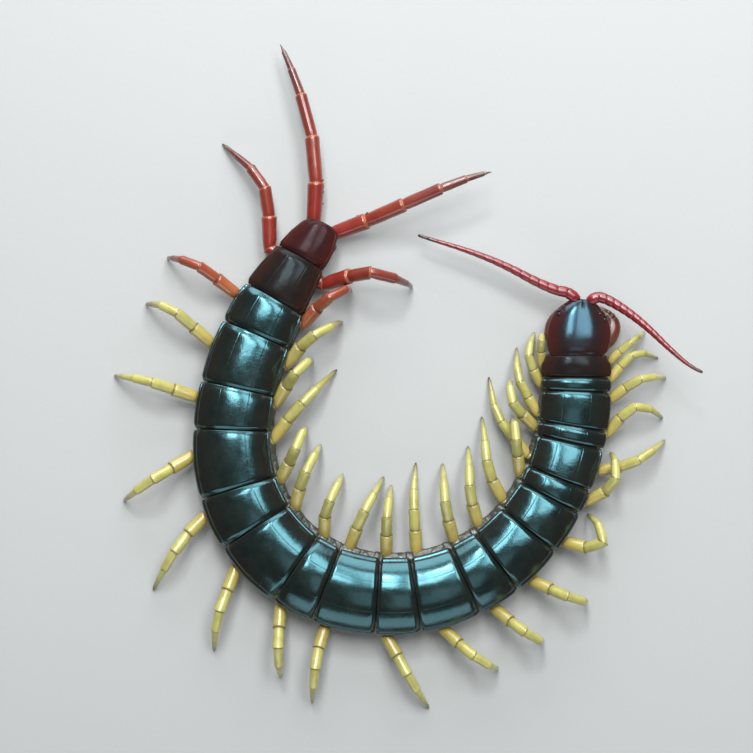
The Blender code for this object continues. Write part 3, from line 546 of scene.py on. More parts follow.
def plate_shape(index, sizes):
    """One back plate as a closed shell.

    Middle sheet: the arch over the body, plus a pillow sin(pi u) (1 - v^2) and a tilt (2 u - 1) (1 - v^2),
    less a bell-shaped dip along the front and the rear edge, plus a rim ridge and two long seams. The rear
    edge bows out by u^3 (1 - v^2), and the corners are drawn in by bells."""
    thick = sizes.plate_thickness / MM
    front = BORDERS[index] + (FRONT_GAP if index else -NECK_LAP)
    rear = BORDERS[index + 1] - REAR_GAP
    u = spread(PLATE_ROWS[PLATE_LENGTH[index] > LONG_PLATE], 0.86)[:, None]
    v = plate_shares(sizes)[None, :]
    from_front = u * (rear - front)
    from_rear = (1.0 - u) * (rear - front)
    station = front + from_front + REAR_BOW * (1.0 - v ** 2) * u ** 3
    corners = [(from_front, FRONT_CORNER if index else NECK_CORNER), (from_rear, REAR_CORNER)]
    if index == LAST:
        station = station - TAIL_REAR_CURVE * v ** 4 * u ** 3
        corners.append((from_rear, TAIL_CORNER))
    half = half_width(station) + sizes.side_swell / MM * np.sin(math.pi * u)
    for distance, (depth, width) in corners:
        half = half - depth * bell(distance, width)
    from_side = (1.0 - np.abs(v)) * half
    middle = arch_height(station, v) - 0.5 * thick
    middle = middle + sizes.pillow / MM * np.sin(math.pi * u) * (1.0 - v ** 2)
    middle = middle + REAR_LIFT[index] * (2.0 * u - 1.0) * (1.0 - v ** 2)
    middle = middle - (FRONT_DIP if index else FIRST_FRONT_DIP) * bell(from_front, FRONT_DIP_WIDTH)
    middle = middle - REAR_FALL[index] * bell(from_rear, REAR_FALL_LENGTH[index])
    if 1 < index < LAST:
        seam = bell((np.abs(v) - sizes.seam_place) * half, SEAM_WIDTH)
        window = ease(from_front, 0.3, 0.9) * ease(from_rear, 0.2, 0.8)
        middle = middle - sizes.seam_depth / MM * seam * window
    ridge, groove = (bell(from_side - distance, width) for distance, width in (RIM_RIDGE, RIM_GROOVE))
    rise = sizes.rim_ridge / MM * (1.0 if index >= SOFT_RIM_PLATES else SOFT_RIM_SHARE)
    middle = middle + rise * (ridge - RIM_GROOVE_SHARE * groove)
    return shell(on_trunk, station, v * half + tail_swing(station), middle, thick,
                 (from_front, from_rear, from_side), plate_marks(v, from_rear, from_side))


def belly_shape(index, sizes):
    """One belly plate as a closed shell: nearly flat, its sides turned up by |v|^4, with two raised lines."""
    thick = BELLY_THICKNESS * sizes.plate_thickness / MM
    front, rear = BORDERS[index] + 0.35, BORDERS[index + 1] - 0.3
    u = spread(26, 0.86)[:, None]
    lines = BELLY_LINE + np.array((-0.04, 0.0, 0.04))
    v = np.unique(np.round(np.concatenate((2.0 * spread(29, 0.6) - 1.0, lines, -lines)), 5))[None, :]
    from_front = u * (rear - front)
    from_rear = (1.0 - u) * (rear - front)
    station = front + from_front + 0.0 * v
    half = 0.5 * half_width(station) * (1.0 - (0.35 * u ** 2 if index == LAST else 0.0))
    half = half - 0.5 * bell(from_front, 0.7) - 0.5 * bell(from_rear, 0.7)
    middle = BELLY_HEIGHT + 0.5 * thick + 0.3 * v ** 4 + 0.1 * bell(from_front, 0.5)
    middle = middle + 0.07 * bell((np.abs(v) - BELLY_LINE) * half, 0.14)
    gaps = (from_front, from_rear, (1.0 - np.abs(v)) * half)
    return shell(on_trunk, station, v * half, middle, thick, gaps, {})


# Soft skin between the plates
def spline_weights(controls, count):
    """Weights of a closed uniform cubic B-spline: each point is a blend of its four nearest controls."""
    place = np.arange(count) * controls / count
    first = np.floor(place).astype(int)
    t = place - first
    blends = ((1.0 - t) ** 3 / 6.0, (3.0 * t ** 3 - 6.0 * t ** 2 + 4.0) / 6.0,
              (-3.0 * t ** 3 + 3.0 * t ** 2 + 3.0 * t + 1.0) / 6.0, t ** 3 / 6.0)
    weights = np.zeros((count, controls))
    for shift, blend in enumerate(blends):
        np.add.at(weights, (np.arange(count), (first + shift - 1) % controls), blend)
    return weights


def skin_shape(sizes):
    """The one soft skin of the trunk, from the neck to the root of the trailing legs.

    Each ring is a closed B-spline guided by points on the back, in the groove under the plate rims, on the
    bulging flank and on the belly. Round every leg root the skin is pushed out in a hip mound and small hard
    plates and in at the breathing holes; between them it has sine folds, and creases along the borders."""
    station = np.linspace(SKIN_START, BODY_END + 0.2, SKIN_ROWS)
    wide = np.maximum(half_width(station), COXOPLEURA_HALF_WIDTH / WALL_SHARE)
    closing = np.sqrt(np.clip(1.0 - (1.0 - ease(station, -2.2, 1.0)) ** 2, 0.3, 1.0))
    closing = closing * np.sqrt(np.clip(1.0 - ease(station, BODY_END - 2.2, BODY_END + 0.5) ** 2, 0.2, 1.0))
    curve = -np.gradient(np.interp(station, LINE_STATION, LINE_HEADING), station)
    curve = np.convolve(np.pad(curve, 30, "edge"), np.ones(61) / 61.0, "valid")
    inner = sizes.flank_bulge / MM * np.clip(curve / FULL_BEND, 0.0, 1.0)
    to_border = np.abs(station[:, None] - BORDERS[None, 1:-1]).min(1)
    trench = 0.35 * bell(to_border, 0.5)
    rim = smooth_table(station, HEIGHT_STATION, RIM_HEIGHT)

    def half_ring(bulge):
        """Offsets and heights of the control points down one side, from the top middle to the belly."""
        back = [(share * wide, arch_height(station, share) - 0.8 - trench) for share in (0.0, 0.45, 0.78)]
        groove = [(0.9 * wide, rim - 0.8), (0.87 * wide, rim - 1.35)]
        flank = [(share * wide + swell * bulge, level + 0.0 * wide) for share, swell, level in (
            (0.93, 1.0, 5.3), (0.96, 1.0, 4.1), (0.87, 0.3, 2.7),
            (0.7, 0.0, 1.95), (0.45, 0.0, 1.72), (0.22, 0.0, 1.7), (0.0, 0.0, 1.7))]
        return back + groove + flank

    left = half_ring(inner)
    right = half_ring(0.12 * inner)
    controls = left + [(-across, level) for across, level in right[-2:0:-1]]
    weights = spline_weights(len(controls), SKIN_POINTS)
    offset, height = (np.stack(column, 1) @ weights.T for column in zip(*controls))
    nearest = np.abs(station[:, None] - np.array(LEG_STATION)[None, :]).argmin(1)
    girth = np.array(LEG_SIZE)[nearest, None] ** GIRTH_POWER
    roots = np.stack([LEG_STATION + np.array(pose)[:, 4] for pose in (LEFT_POSE, RIGHT_POSE)])[:, nearest]
    behind = station[:, None] - np.where(offset > 0.0, roots[0][:, None], roots[1][:, None])
    over = height - np.interp(station, HEIGHT_STATION, ROOT_HEIGHT)[:, None]
    mound = 1.0 / (1.0 + (np.hypot(behind, over) / (HIP_MOUND * girth)) ** 6)
    hard = np.zeros_like(offset)
    for place, lift, long, tall in SMALL_PLATES:
        reach = ((behind / girth - place) / long) ** 4 + ((over - lift) / tall) ** 4
        hard = np.maximum(hard, ease(1.25 - reach, 0.0, 0.7))
    breathing = np.isin(nearest + 1, BREATHING_SEGMENTS)[:, None]
    from_hole = np.hypot((behind - BREATHING_HOLE[0]) / 1.15, over - BREATHING_HOLE[1])
    hole = breathing * bell(from_hole, 0.36)
    lip = breathing * bell(from_hole - 0.62, 0.2)
    folds = np.sin(2.0 * math.pi * (height / FOLD_PITCH + 0.28 * np.sin(station * 1.9)[:, None]))
    creases = np.cos(2.0 * math.pi * to_border / CREASE_PITCH)[:, None] * bell(to_border, 1.1)[:, None]
    flank = ease(np.abs(offset) / wide[:, None], 0.62, 0.8) * ease(rim[:, None] - height, 0.3, 0.9)
    soft = 1.0 - np.maximum(hard, mound)
    wrinkles = sizes.fold_depth / MM * soft * (folds + 1.1 * creases) - 0.3 * bell(to_border, 0.5)[:, None]
    push = flank * (0.34 * mound + 0.17 * hard + 0.2 * lip - 0.5 * hole + wrinkles)
    direction = np.stack((offset / wide[:, None], (height - FLANK_HEIGHT) / 4.0), -1)
    direction = direction / np.maximum(np.linalg.norm(direction, axis=-1, keepdims=True), 0.2)
    offset = (offset + push * direction[..., 0]) * closing[:, None]
    height = FLANK_HEIGHT + (height + push * direction[..., 1] - FLANK_HEIGHT) * closing[:, None]
    rings = on_trunk(station[:, None], offset + tail_swing(station)[:, None], height)
    # Painted shade: skin under the plate rims, seen in the gaps between plates, is marked to be coloured near
    # black
    inside = 1.0 - ease(np.abs(offset) / wide[:, None], 0.9, 1.0)
    covered = ease(height - (rim[:, None] - 1.35), 0.0, 0.6) * inside
    values = {"hard": np.maximum(hard, 0.6 * mound) * flank, "hole": hole * flank, "covered": covered}
    return outward(lofted(rings, values))


def coxopleuron_shape(side):
    """Swollen side of the last segment: an ellipse carried tailwards that ends in a blunt point."""
    share = spread(48, 0.7)
    start = BORDERS[LAST] + 0.9
    station = start + share * (BODY_END + 1.4 - start)
    offset = side * smooth_table(share, (0.0, 0.25, 0.6, 0.85, 1.0), (3.9, 3.6, 3.3, 3.5, 3.6))
    offset = offset + TAIL_SWING * share
    height = smooth_table(share, (0.0, 0.3, 0.6, 0.85, 1.0), (4.0, 3.75, 3.1, 2.2, 1.9))
    wide = smooth_table(share, (0.0, 0.12, 0.4, 0.7, 0.85, 1.0), (0.25, 1.2, 1.5, 1.1, 0.55, 0.12))
    tall = smooth_table(share, (0.0, 0.12, 0.4, 0.7, 0.85, 1.0), (0.3, 1.8, 2.1, 1.3, 0.55, 0.12))
    centres = on_trunk(station, offset, height)
    normals = unit(np.gradient(centres, axis=0))
    return swept(centres, normals, frame_at(station)[2], wide, tall, 28)


# Head
def squared_ring(angle, across_power, up_power):
    """Ring between an ellipse and a box: cos a and sin a, each with its size raised to a power below 1."""
    cosine, sine = np.cos(angle), np.sin(angle)
    return np.sign(cosine) * np.abs(cosine) ** across_power, np.sign(sine) * np.abs(sine) ** up_power


def head_half_width(forward):
    """Half width of the head at a distance from the neck, held at both ends."""
    return smooth_table(forward, HEAD_STATION, HEAD_HALF_WIDTH)


def shield_height(forward, share):
    """Height of the head shield over a share of its half width: edge + (top - edge) (1 - |share|^2.6)."""
    top = smooth_table(forward, HEAD_STATION, SHIELD_TOP)
    edge = smooth_table(forward, (-0.5, 3.0, 8.0, 11.0, 13.0), (6.95, 6.95, 6.75, 6.4, 6.1))
    return edge + (top - edge) * (1.0 - np.minimum(np.abs(share), 1.0) ** SHIELD_POWER)


def head_plate_shape(sizes):
    """The shield over the head as a closed shell, drawn in to the front, with a notch and a ridged rim."""
    thick = sizes.plate_thickness / MM
    u = spread(64, 0.9)[:, None]
    v = (2.0 * spread(72, 0.85) - 1.0)[None, :]
    length = SHIELD_FRONT - SHIELD_REAR
    forward = SHIELD_REAR + length * u + 0.0 * v
    forward = forward - 0.32 * (1.0 - ease(u, 0.0, 0.3)) * (v ** 2 - 0.35)
    half = head_half_width(forward) + 0.12 - 0.5 * bell(forward - SHIELD_REAR, 0.55)
    from_side = (1.0 - np.abs(v)) * half
    from_rear = length * u
    from_front = length * (1.0 - u)
    notch = bell(v * half, 0.28) * ease(forward, 9.6, 12.6)
    middle = shield_height(forward, v) - 0.5 * thick
    middle = middle - 0.16 * notch - 0.1 * bell(from_rear, 0.4) + 0.07 * bell(from_side - 0.3, 0.18)
    middle = middle - 0.06 * bell(from_rear - 1.0, 0.22) * (1.0 - v ** 4)
    return shell(head_place, v * half, forward, middle, thick, (from_front, from_rear, from_side),
                 plate_marks(v, from_rear, from_side))


def capsule_point(forward, angle, inset):
    """Point of the head's side at a station and an angle round it: |cos|^0.8 across, |sin|^0.75 up."""
    across, rise = squared_ring(angle, 0.8, 0.75)
    top = smooth_table(forward, HEAD_STATION, HEAD_TOP)
    bottom = smooth_table(forward, HEAD_STATION, HEAD_BOTTOM)
    middle = 0.6 * top + 0.4 * bottom
    tall = np.where(rise > 0.0, top - 0.3 - middle, middle - bottom)
    return across * (head_half_width(forward) - inset), middle + rise * tall


def capsule_shape():
    """Closed head capsule under the shield, with a cheek groove and a lip that rounds down at the front."""
    forward = np.concatenate((np.linspace(-0.9, 0.1, 6), 0.15 + 12.6 * spread(60, 0.5)))[:, None]
    angle = (2.0 * math.pi * np.arange(56) / 56.0)[None, :]
    across, height = capsule_point(forward, angle, 0.28)
    cheek = bell((height - 6.0) - 0.08 * (forward - 6.0), 0.32) * (np.abs(np.cos(angle)) > 0.5)
    height = np.minimum(height, shield_height(forward, across / head_half_width(forward)) - SHIELD_CLEARANCE)
    across = across * (1.0 - 0.045 * cheek) * (1.0 - 0.2 * (1.0 - ease(forward, -1.2, 0.2)))
    return outward(lofted(head_place(across, forward, height)))


def ocelli_shapes(side):
    """Four simple eyes on one side, each a squeezed ball half sunk into the cheek."""
    shapes = []
    for forward, angle in EYE_PLACES:
        turn = math.radians(angle if side > 0 else 180.0 - angle)
        across, height = capsule_point(forward, turn, 0.0)
        place = head_place(across, forward, height)
        axis = unit(place - head_place(0.0, forward, 6.2))
        shapes.append(dome(place - EYE_SINK * axis, axis, EYE_RADIUS, EYE_RISE, 20))
    return shapes


def coxosternite_shape():
    """Broad plate under the head that carries the poison claws, with a long seam in its middle."""
    forward = np.concatenate((np.linspace(-0.7, 0.1, 5), 0.15 + 7.25 * spread(44, 0.6)))[:, None]
    angle = (2.0 * math.pi * np.arange(64) / 64.0)[None, :]
    across, rise = squared_ring(angle, 0.55, 0.6)
    half = smooth_table(forward, COXOSTERNITE_STATION, COXOSTERNITE_HALF_WIDTH) - 0.6 * (forward < 0.0)
    across = across * half
    low = COXOSTERNITE_BOTTOM + 0.034 * np.clip(forward, COXOSTERNITE_STATION[0], COXOSTERNITE_STATION[-1])
    height = 0.5 * (low + COXOSTERNITE_TOP) + rise * 0.5 * (COXOSTERNITE_TOP - low)
    height = height + 0.12 * bell(across, 0.22) * (rise < 0.0)
    return outward(lofted(head_place(across, forward, height)))


def tooth_shapes(side):
    """One tooth plate: a low block in front of the coxosternite with four blunt teeth."""
    ahead = compass(HEAD_HEADING)
    share = spread(14, 0.6)
    centres = head_place(side * 1.15 + 0.0 * share, 6.7 + 1.35 * share, 2.6 + 0.0 * share)
    wide = 0.78 * np.sqrt(1.0 - 0.5 * share ** 2)
    tall = 0.5 * np.sqrt(1.0 - 0.75 * share ** 2)
    block = swept(centres, np.tile(ahead, (14, 1)), np.tile(to_right(HEAD_HEADING), (14, 1)), wide, tall, 20)
    shapes = [block]
    for across in (0.72, 1.0, 1.3, 1.62):
        shapes.append(cone(head_place(side * across, 7.85, 2.6), ahead, 0.5, 0.19, 8))
    return shapes


def palp_shape(side):
    """Jointed mouth palp bent inwards: three swollen articles, their girth 0.86 + 0.14 |sin(3 pi t)|^0.5."""
    share = np.linspace(0.0, 1.0, 40)
    turn = HEAD_HEADING + side * (8.0 + 22.0 * share)
    way = compass(turn, 0.0)
    centres = head_place(side * 2.0, 6.4, 4.1) + np.cumsum(way, 0) * (4.0 / 40.0)
    body = 0.86 + 0.14 * np.abs(np.sin(3.0 * math.pi * share)) ** 0.5
    girth = 1.12 * body * np.sqrt(np.clip(1.0 - share ** 3.2, 0.01, 1.0))
    return swept(centres, way, to_right(turn), girth, 0.95 * girth, 20)


def forcipule_shapes(side):
    """Poison claw: an ellipse carried along a smooth hook, narrowed at its joints, with a basal tooth."""
    knots = np.arange(float(len(FORCIPULE_PATH)))
    t = knots[-1] * spread(96, 0.35)
    across, forward = (smooth_table(t, knots, column) for column in zip(*FORCIPULE_PATH))
    across = across + FORCIPULE_SPREAD[side] * np.sin(math.pi * np.minimum(1.0, t / 5.0))
    forward = forward + FORCIPULE_ADVANCE[side] * ease(t, 0.0, 2.0)
    centres = head_place(side * across, forward, FORCIPULE_HEIGHT + 0.0 * t)
    normals = unit(np.gradient(centres, axis=0))
    turn = np.degrees(np.arctan2(normals[:, 1], normals[:, 0]))
    wide = smooth_table(t, knots, FORCIPULE_HALF_WIDTH)
    tall = smooth_table(t, knots, FORCIPULE_HALF_HEIGHT)
    joints = bell(t - 2.95, 0.07) + bell(t - 3.35, 0.06) + bell(t - 3.75, 0.06)
    swell = 1.0 - 0.11 * joints + 0.03 * np.sin(math.pi * np.minimum(1.0, t / 2.9))
    closing = np.sqrt(np.clip(ease(t, -0.12, 0.25), 0.15, 1.0))
    tip = ease(t, 4.5, 5.5)[:, None]
    values = {"tip": tip, "joint": joints[:, None]}
    claw = swept(centres, normals, to_right(turn), wide * swell * closing, tall * swell * closing, 32, values)
    root = head_place(side * (4.6 + 0.5 * FORCIPULE_SPREAD[side]), 6.2, FORCIPULE_HEIGHT)
    tooth = cone(root, compass(HEAD_HEADING + side * 52.0), 1.5, 0.62, 14,
                 {"tip": np.linspace(0.0, 1.0, 8), "joint": 0.0})
    return [claw, tooth]


# Feelers and legs
def antenna_shape(side):
    """Feeler: articles carried along a bent path, each a barrel that narrows at both joints."""
    count = ANTENNA_ARTICLES
    share = np.linspace(0.0, 1.0, count + 1)
    turn = HEAD_HEADING + np.interp(share, ANTENNA_KNOTS, ANTENNA_TURN[side])
    pitch = np.interp(share, ANTENNA_KNOTS, ANTENNA_PITCH[side])
    way = compass(turn[:-1], pitch[:-1])
    length = ANTENNA_LENGTH[side] / count
    root = head_place(side * ANTENNA_ROOT, HEAD_STATION[-1] + GAP, ANTENNA_HEIGHT)
    joints = root + np.concatenate((np.zeros((1, 3)), np.cumsum(way * length, 0)))
    local = np.array((0.0, 0.05, 0.13, 0.28, 0.5, 0.72, 0.88, 0.96))
    barrel = np.array((0.9, 0.95, 0.985, 1.0, 1.01, 1.01, 0.985, 0.94))
    place = (np.arange(count)[:, None] + local[None, :]).ravel()
    place = np.append(place, count)
    centres = np.stack([np.interp(place, np.arange(count + 1), joints[:, k]) for k in range(3)], -1)
    centres[0] = centres[0] - compass(HEAD_HEADING) * 1.0
    normals = unit(np.gradient(centres, axis=0))
    taper = ANTENNA_TIP_RADIUS + (ANTENNA_ROOT_RADIUS - ANTENNA_TIP_RADIUS) * (1.0 - place / count)
    swell = np.append(np.tile(barrel, count), 0.5)
    swell[-3:] = swell[-3:] * np.array((0.95, 0.8, 0.55))
    girth = taper * swell
    turns = np.degrees(np.arctan2(normals[:, 1], normals[:, 0]))
    joint = np.append(np.tile(1.0 - ease(np.minimum(local, 1.0 - local), 0.0, 0.09), count), 0.0)
    values = {"along": (place / count)[:, None], "joint": joint[:, None]}
    return swept(centres, normals, to_right(turns), girth, girth, 20, values)


def leg_chain(size, pose, tilt, stretch):
    """Lengths, turns and pitches of a leg's seven articles; the turns ease from thigh to foot at the knee."""
    thigh, foot, reach, knee, shift = pose
    turns = thigh + (foot - thigh) * ease(np.arange(7.0), knee - 0.5 * KNEE_WIDTH, knee + 0.5 * KNEE_WIDTH)
    turns[0] = 0.0
    return np.array(ARTICLE_LENGTH) * size, turns, np.clip(np.array(ARCH) * stretch + tilt, -85.0, 80.0)


def solve_leg(size, pose, root_height):
    """Halve two ranges forty times: the tilt that brings the foot to the floor, the stretch to its reach."""
    stretches = [0.0, 2.6]
    for _ in range(40):
        stretch = 0.5 * sum(stretches)
        tilts = [-80.0, 60.0]
        for _ in range(40):
            tilt = 0.5 * sum(tilts)
            lengths, turns, pitches = leg_chain(size, pose, tilt, stretch)
            fall = float(np.sum(lengths * np.sin(np.radians(pitches))))
            tilts[1 if fall + root_height > 0.0 else 0] = tilt
        span = float(np.sum(lengths * np.cos(np.radians(pitches))))
        stretches[0 if span > pose[2] else 1] = stretch
    return lengths, turns, pitches


def limb_shape(root, turns, pitches, lengths, starts, ends, girth, sink):
    """Jointed limb: on each article the radius runs from start to end, and is less at its joints.

    Ring planes turn to halve the bend at every joint, and the last article arches up a little."""
    turns, starts, ends = (np.asarray(numbers, float) for numbers in (turns, starts, ends))
    count = len(lengths)
    way = compass(turns, pitches)
    joints = root + np.concatenate((np.zeros((1, 3)), np.cumsum(way * np.asarray(lengths)[:, None], 0)))
    local = np.array((0.0, 0.022, 0.055, 0.12, 0.24, 0.4, 0.58, 0.74, 0.86, 0.93, 0.972, 0.994))
    swell = np.array((0.87, 0.93, 0.98, 1.0, 1.02, 1.02, 1.0, 1.0, 1.01, 1.02, 1.0, 0.91))
    place = (np.arange(count)[:, None] + local[None, :]).ravel()
    share = np.tile(local, count)
    article = np.repeat(np.arange(count), len(local))
    centres = joints[article] + (joints[article + 1] - joints[article]) * share[:, None]
    before = np.maximum(article - 1, 0)
    after = np.minimum(article + 1, count - 1)
    lean_back = (1.0 - ease(share, 0.0, 0.4)) * 0.5
    lean_on = ease(share, 0.6, 1.0) * 0.5
    normals = unit(way[article] * (1.0 - lean_back - lean_on)[:, None] + way[before] * lean_back[:, None]
                   + way[after] * lean_on[:, None])
    turn = turns[article] * (1.0 - lean_back - lean_on) + turns[before] * lean_back + turns[after] * lean_on
    radius = (starts[article] + (ends[article] - starts[article]) * share) * girth * np.tile(swell, count)
    last = article == count - 1
    radius = np.where(last, radius * (1.0 - 0.45 * share ** 1.5), radius)
    centres[0] = centres[0] - way[0] * sink
    centres = np.concatenate((centres, joints[-1][None]))
    normals = np.concatenate((normals, way[-1][None]))
    turn = np.append(turn, turns[-1])
    radius = np.append(radius, 0.12 * girth)
    place = np.append(place, float(count))
    bow = np.where(np.append(last, True), np.sin(math.pi * np.clip(place - (count - 1), 0.0, 1.0)), 0.0)
    hump = np.cross(to_right(turns[-1]), way[-1])
    centres = centres + hump * (0.16 * girth * bow)[:, None]
    joint = np.append(np.tile(1.0 - ease(np.minimum(local, 1.0 - local), 0.004, 0.05), count), 0.0)
    joint = joint * (place > 0.5)
    values = {"article": place[:, None], "joint": joint[:, None]}
    points, faces, marks = swept(centres, normals, to_right(turn), radius, radius * 1.03, 22, values)
    points[:, 2] = np.maximum(points[:, 2], FOOT_CLEARANCE)
    return (points, faces, marks), joints, way


def walking_leg_shapes(pair, side, pose):
    """One walking leg from its hip to the tip of its claw, with a tarsal spur and two claw spurs."""
    size = LEG_SIZE[pair]
    girth = size ** GIRTH_POWER
    station = LEG_STATION[pair] + pose[4]
    foot_of_wall, square = wall_face(station, side, ARTICLE_START[0] * girth)
    heading = math.degrees(math.atan2(square[1], square[0]))
    root_height = float(np.interp(station, HEIGHT_STATION, ROOT_HEIGHT))
    lengths, turns, pitches = solve_leg(size, pose, root_height)
    root = foot_of_wall + square * GAP
    root[2] = root_height
    turns = heading - side * turns
    limb, joints, way = limb_shape(root, turns, pitches, lengths, ARTICLE_START, ARTICLE_END, girth, 0.7)
    shapes = [limb]
    down = -np.cross(to_right(turns[4]), way[4])
    spur_root = joints[5] - way[4] * 0.25 * girth + down * 0.42 * girth
    shapes.append(cone(spur_root, unit(way[4] + 0.9 * down), 0.75 * girth, 0.17 * girth, 8,
                       {"article": 6.5, "joint": 0.0}))
    for across in (-1.0, 1.0):
        claw_side = to_right(turns[6]) * across
        root_of_spur = joints[6] + claw_side * 0.16 * girth + way[6] * 0.1 * girth
        shapes.append(cone(root_of_spur, unit(way[6] + 0.7 * claw_side), 0.55 * girth, 0.11 * girth, 6,
                           {"article": 6.6, "joint": 0.0}))
    return shapes


def ultimate_leg_shapes(side):
    """One trailing leg of the last segment with spines along the inner side of its thigh."""
    point, back, left = frame_at(BODY_END + OVERHANG_STEP + GAP)
    heading = math.degrees(math.atan2(back[1], back[0]))
    root = point + left * (TAIL_SWING + side * ULTIMATE_ROOT_OFFSET)
    root[2] = ULTIMATE_ROOT_HEIGHT
    turns = heading + np.array(ULTIMATE_TURN[side], float)
    lengths = np.array(ULTIMATE_LENGTH) * ULTIMATE_SCALE[side]
    limb, joints, way = limb_shape(root, turns, ULTIMATE_PITCH[side], lengths, ULTIMATE_START, ULTIMATE_END,
                                   1.0, 1.4)
    points, faces, marks = limb
    marks["article"] = marks["article"] + 1.0
    shapes = [(points, faces, marks)]
    inward = to_right(turns[0]) * -side
    for share, lift in SPINE_PLACES:
        direction = unit(inward * 0.9 + way[0] * 0.7 + np.array((0.0, 0.0, lift)))
        spine_root = joints[0] + way[0] * lengths[0] * share + direction * 1.1
        shapes.append(cone(spine_root, direction, SPINE_LENGTH, SPINE_RADIUS, 12,
                           {"article": 1.5 + 4.6 * ease(np.linspace(0.0, 1.0, 8), 0.5, 0.9), "joint": 0.0}))
    return shapes


# Node groups and finishes
def add_node(tree, kind, **settings):
    """Add a shader node and set its plain settings."""
    made = tree.nodes.new(kind)
    for name, value in settings.items():
        setattr(made, name, value)
    return made


def group_tree(name, inputs, outputs):
    """Node group with named number sockets; returns the tree, its inputs and its outputs."""
    tree = bpy.data.node_groups.new(name, "ShaderNodeTree")
    for label, value in inputs:
        socket = tree.interface.new_socket(label, in_out="INPUT", socket_type="NodeSocketFloat")
        socket.default_value = value
    for label in outputs:
        tree.interface.new_socket(label, in_out="OUTPUT", socket_type="NodeSocketFloat")
    return tree, tree.nodes.new("NodeGroupInput"), tree.nodes.new("NodeGroupOutput")


def math_node(tree, operation, first, second=None, clamp=False):
    """Math node on sockets or numbers; returns its output."""
    made = add_node(tree, "ShaderNodeMath", operation=operation, use_clamp=clamp)
    for index, value in enumerate((first, second)):
        if isinstance(value, bpy.types.NodeSocket):
            tree.links.new(value, made.inputs[index])
        elif value is not None:
            made.inputs[index].default_value = value
    return made.outputs[0]


def scaled(tree, value, factor, added):
    """A socket's value times a factor, plus a number."""
    result = math_node(tree, "MULTIPLY_ADD", value, factor)
    result.node.inputs[2].default_value = added
    return result


def mark(tree, name):
    """Value that the mesh carries under this name."""
    return add_node(tree, "ShaderNodeAttribute", attribute_name=name).outputs["Fac"]


def mix_colour(tree, mask, first, second):
    """Blend two colours, each a socket or an RGB triple, by a mask socket; returns the colour output."""
    made = add_node(tree, "ShaderNodeMix", data_type="RGBA")
    tree.links.new(mask, made.inputs["Factor"])
    for label, value in (("A", first), ("B", second)):
        socket = next(s for s in made.inputs if s.name == label and s.type == "RGBA")
        if isinstance(value, bpy.types.NodeSocket):
            tree.links.new(value, socket)
        else:
            socket.default_value = (*value, 1.0)
    return next(s for s in made.outputs if s.type == "RGBA")


def noise_value(tree, place, scale, detail, roughness=0.55):
    """Noise at so many features per metre of object space; returns its value."""
    made = add_node(tree, "ShaderNodeTexNoise")
    tree.links.new(place, made.inputs["Vector"])
    made.inputs["Scale"].default_value = scale
    made.inputs["Detail"].default_value = detail
    made.inputs["Roughness"].default_value = roughness
    return made.outputs["Fac"]


def ranged(tree, value, low, high, kind="SMOOTHSTEP"):
    """Rise of a socket from 0 to 1 between two numbers, a smooth step unless another kind is given."""
    made = add_node(tree, "ShaderNodeMapRange", interpolation_type=kind)
    tree.links.new(value, made.inputs["Value"])
    made.inputs["From Min"].default_value = low
    made.inputs["From Max"].default_value = high
    return made.outputs["Result"]


def shell_group():
    """Relief of hard shell: broad dents, fine grain and sparse pits; also gives mottle and roughness."""
    tree, ins, outs = group_tree(
        "shell_relief",
        (("Dents", 0.5), ("Grain", 0.25), ("Pits", 0.4)), ("Height", "Mottle", "Roughness"))
    place = add_node(tree, "ShaderNodeTexCoord").outputs["Object"]
    dents = math_node(tree, "MULTIPLY", noise_value(tree, place, 420.0, 2.0), ins.outputs["Dents"])
    grain = math_node(tree, "MULTIPLY", noise_value(tree, place, 2600.0, 3.0), ins.outputs["Grain"])
    cells = add_node(tree, "ShaderNodeTexVoronoi", feature="F1")
    cells.inputs["Scale"].default_value = 1100.0
    tree.links.new(place, cells.inputs["Vector"])
    pit = math_node(tree, "LESS_THAN", cells.outputs["Distance"], 0.16)
    chosen = math_node(tree, "GREATER_THAN", noise_value(tree, place, 900.0, 0.0), 0.58)
    pits = math_node(tree, "MULTIPLY", math_node(tree, "MULTIPLY", pit, chosen), ins.outputs["Pits"])
    height = math_node(tree, "SUBTRACT", math_node(tree, "ADD", dents, grain), pits)
    tree.links.new(height, outs.inputs["Height"])
    mottle = ranged(tree, noise_value(tree, place, 260.0, 4.0, 0.62), 0.36, 0.64, "LINEAR")
    tree.links.new(mottle, outs.inputs["Mottle"])
    tree.links.new(scaled(tree, noise_value(tree, place, 700.0, 3.0), 0.16, 0.11), outs.inputs["Roughness"])
    return tree


def limb_group():
    """Marks of jointed limbs from the mesh's own values: joint lines, share of the length and clouds."""
    tree, ins, outs = group_tree(
        "limb_marks", (("Joint Strength", 1.0),), ("Joint", "Article", "Cloud"))
    place = add_node(tree, "ShaderNodeTexCoord").outputs["Object"]
    line = math_node(tree, "MULTIPLY", mark(tree, "joint"), ins.outputs["Joint Strength"], True)
    tree.links.new(line, outs.inputs["Joint"])
    wave = scaled(tree, noise_value(tree, place, 600.0, 2.0), 0.3, -0.15)
    shifted = math_node(tree, "ADD", mark(tree, "article"), wave)
    share = math_node(tree, "DIVIDE", shifted, float(len(ARTICLE_LENGTH)), True)
    tree.links.new(share, outs.inputs["Article"])
    tree.links.new(noise_value(tree, place, 330.0, 3.0), outs.inputs["Cloud"])
    return tree


def place_group(tree, name, **values):
    """Put a shared node group into a material with its own values."""
    made = add_node(tree, "ShaderNodeGroup", node_tree=bpy.data.node_groups[name])
    for label, value in values.items():
        made.inputs[label].default_value = value
    return made


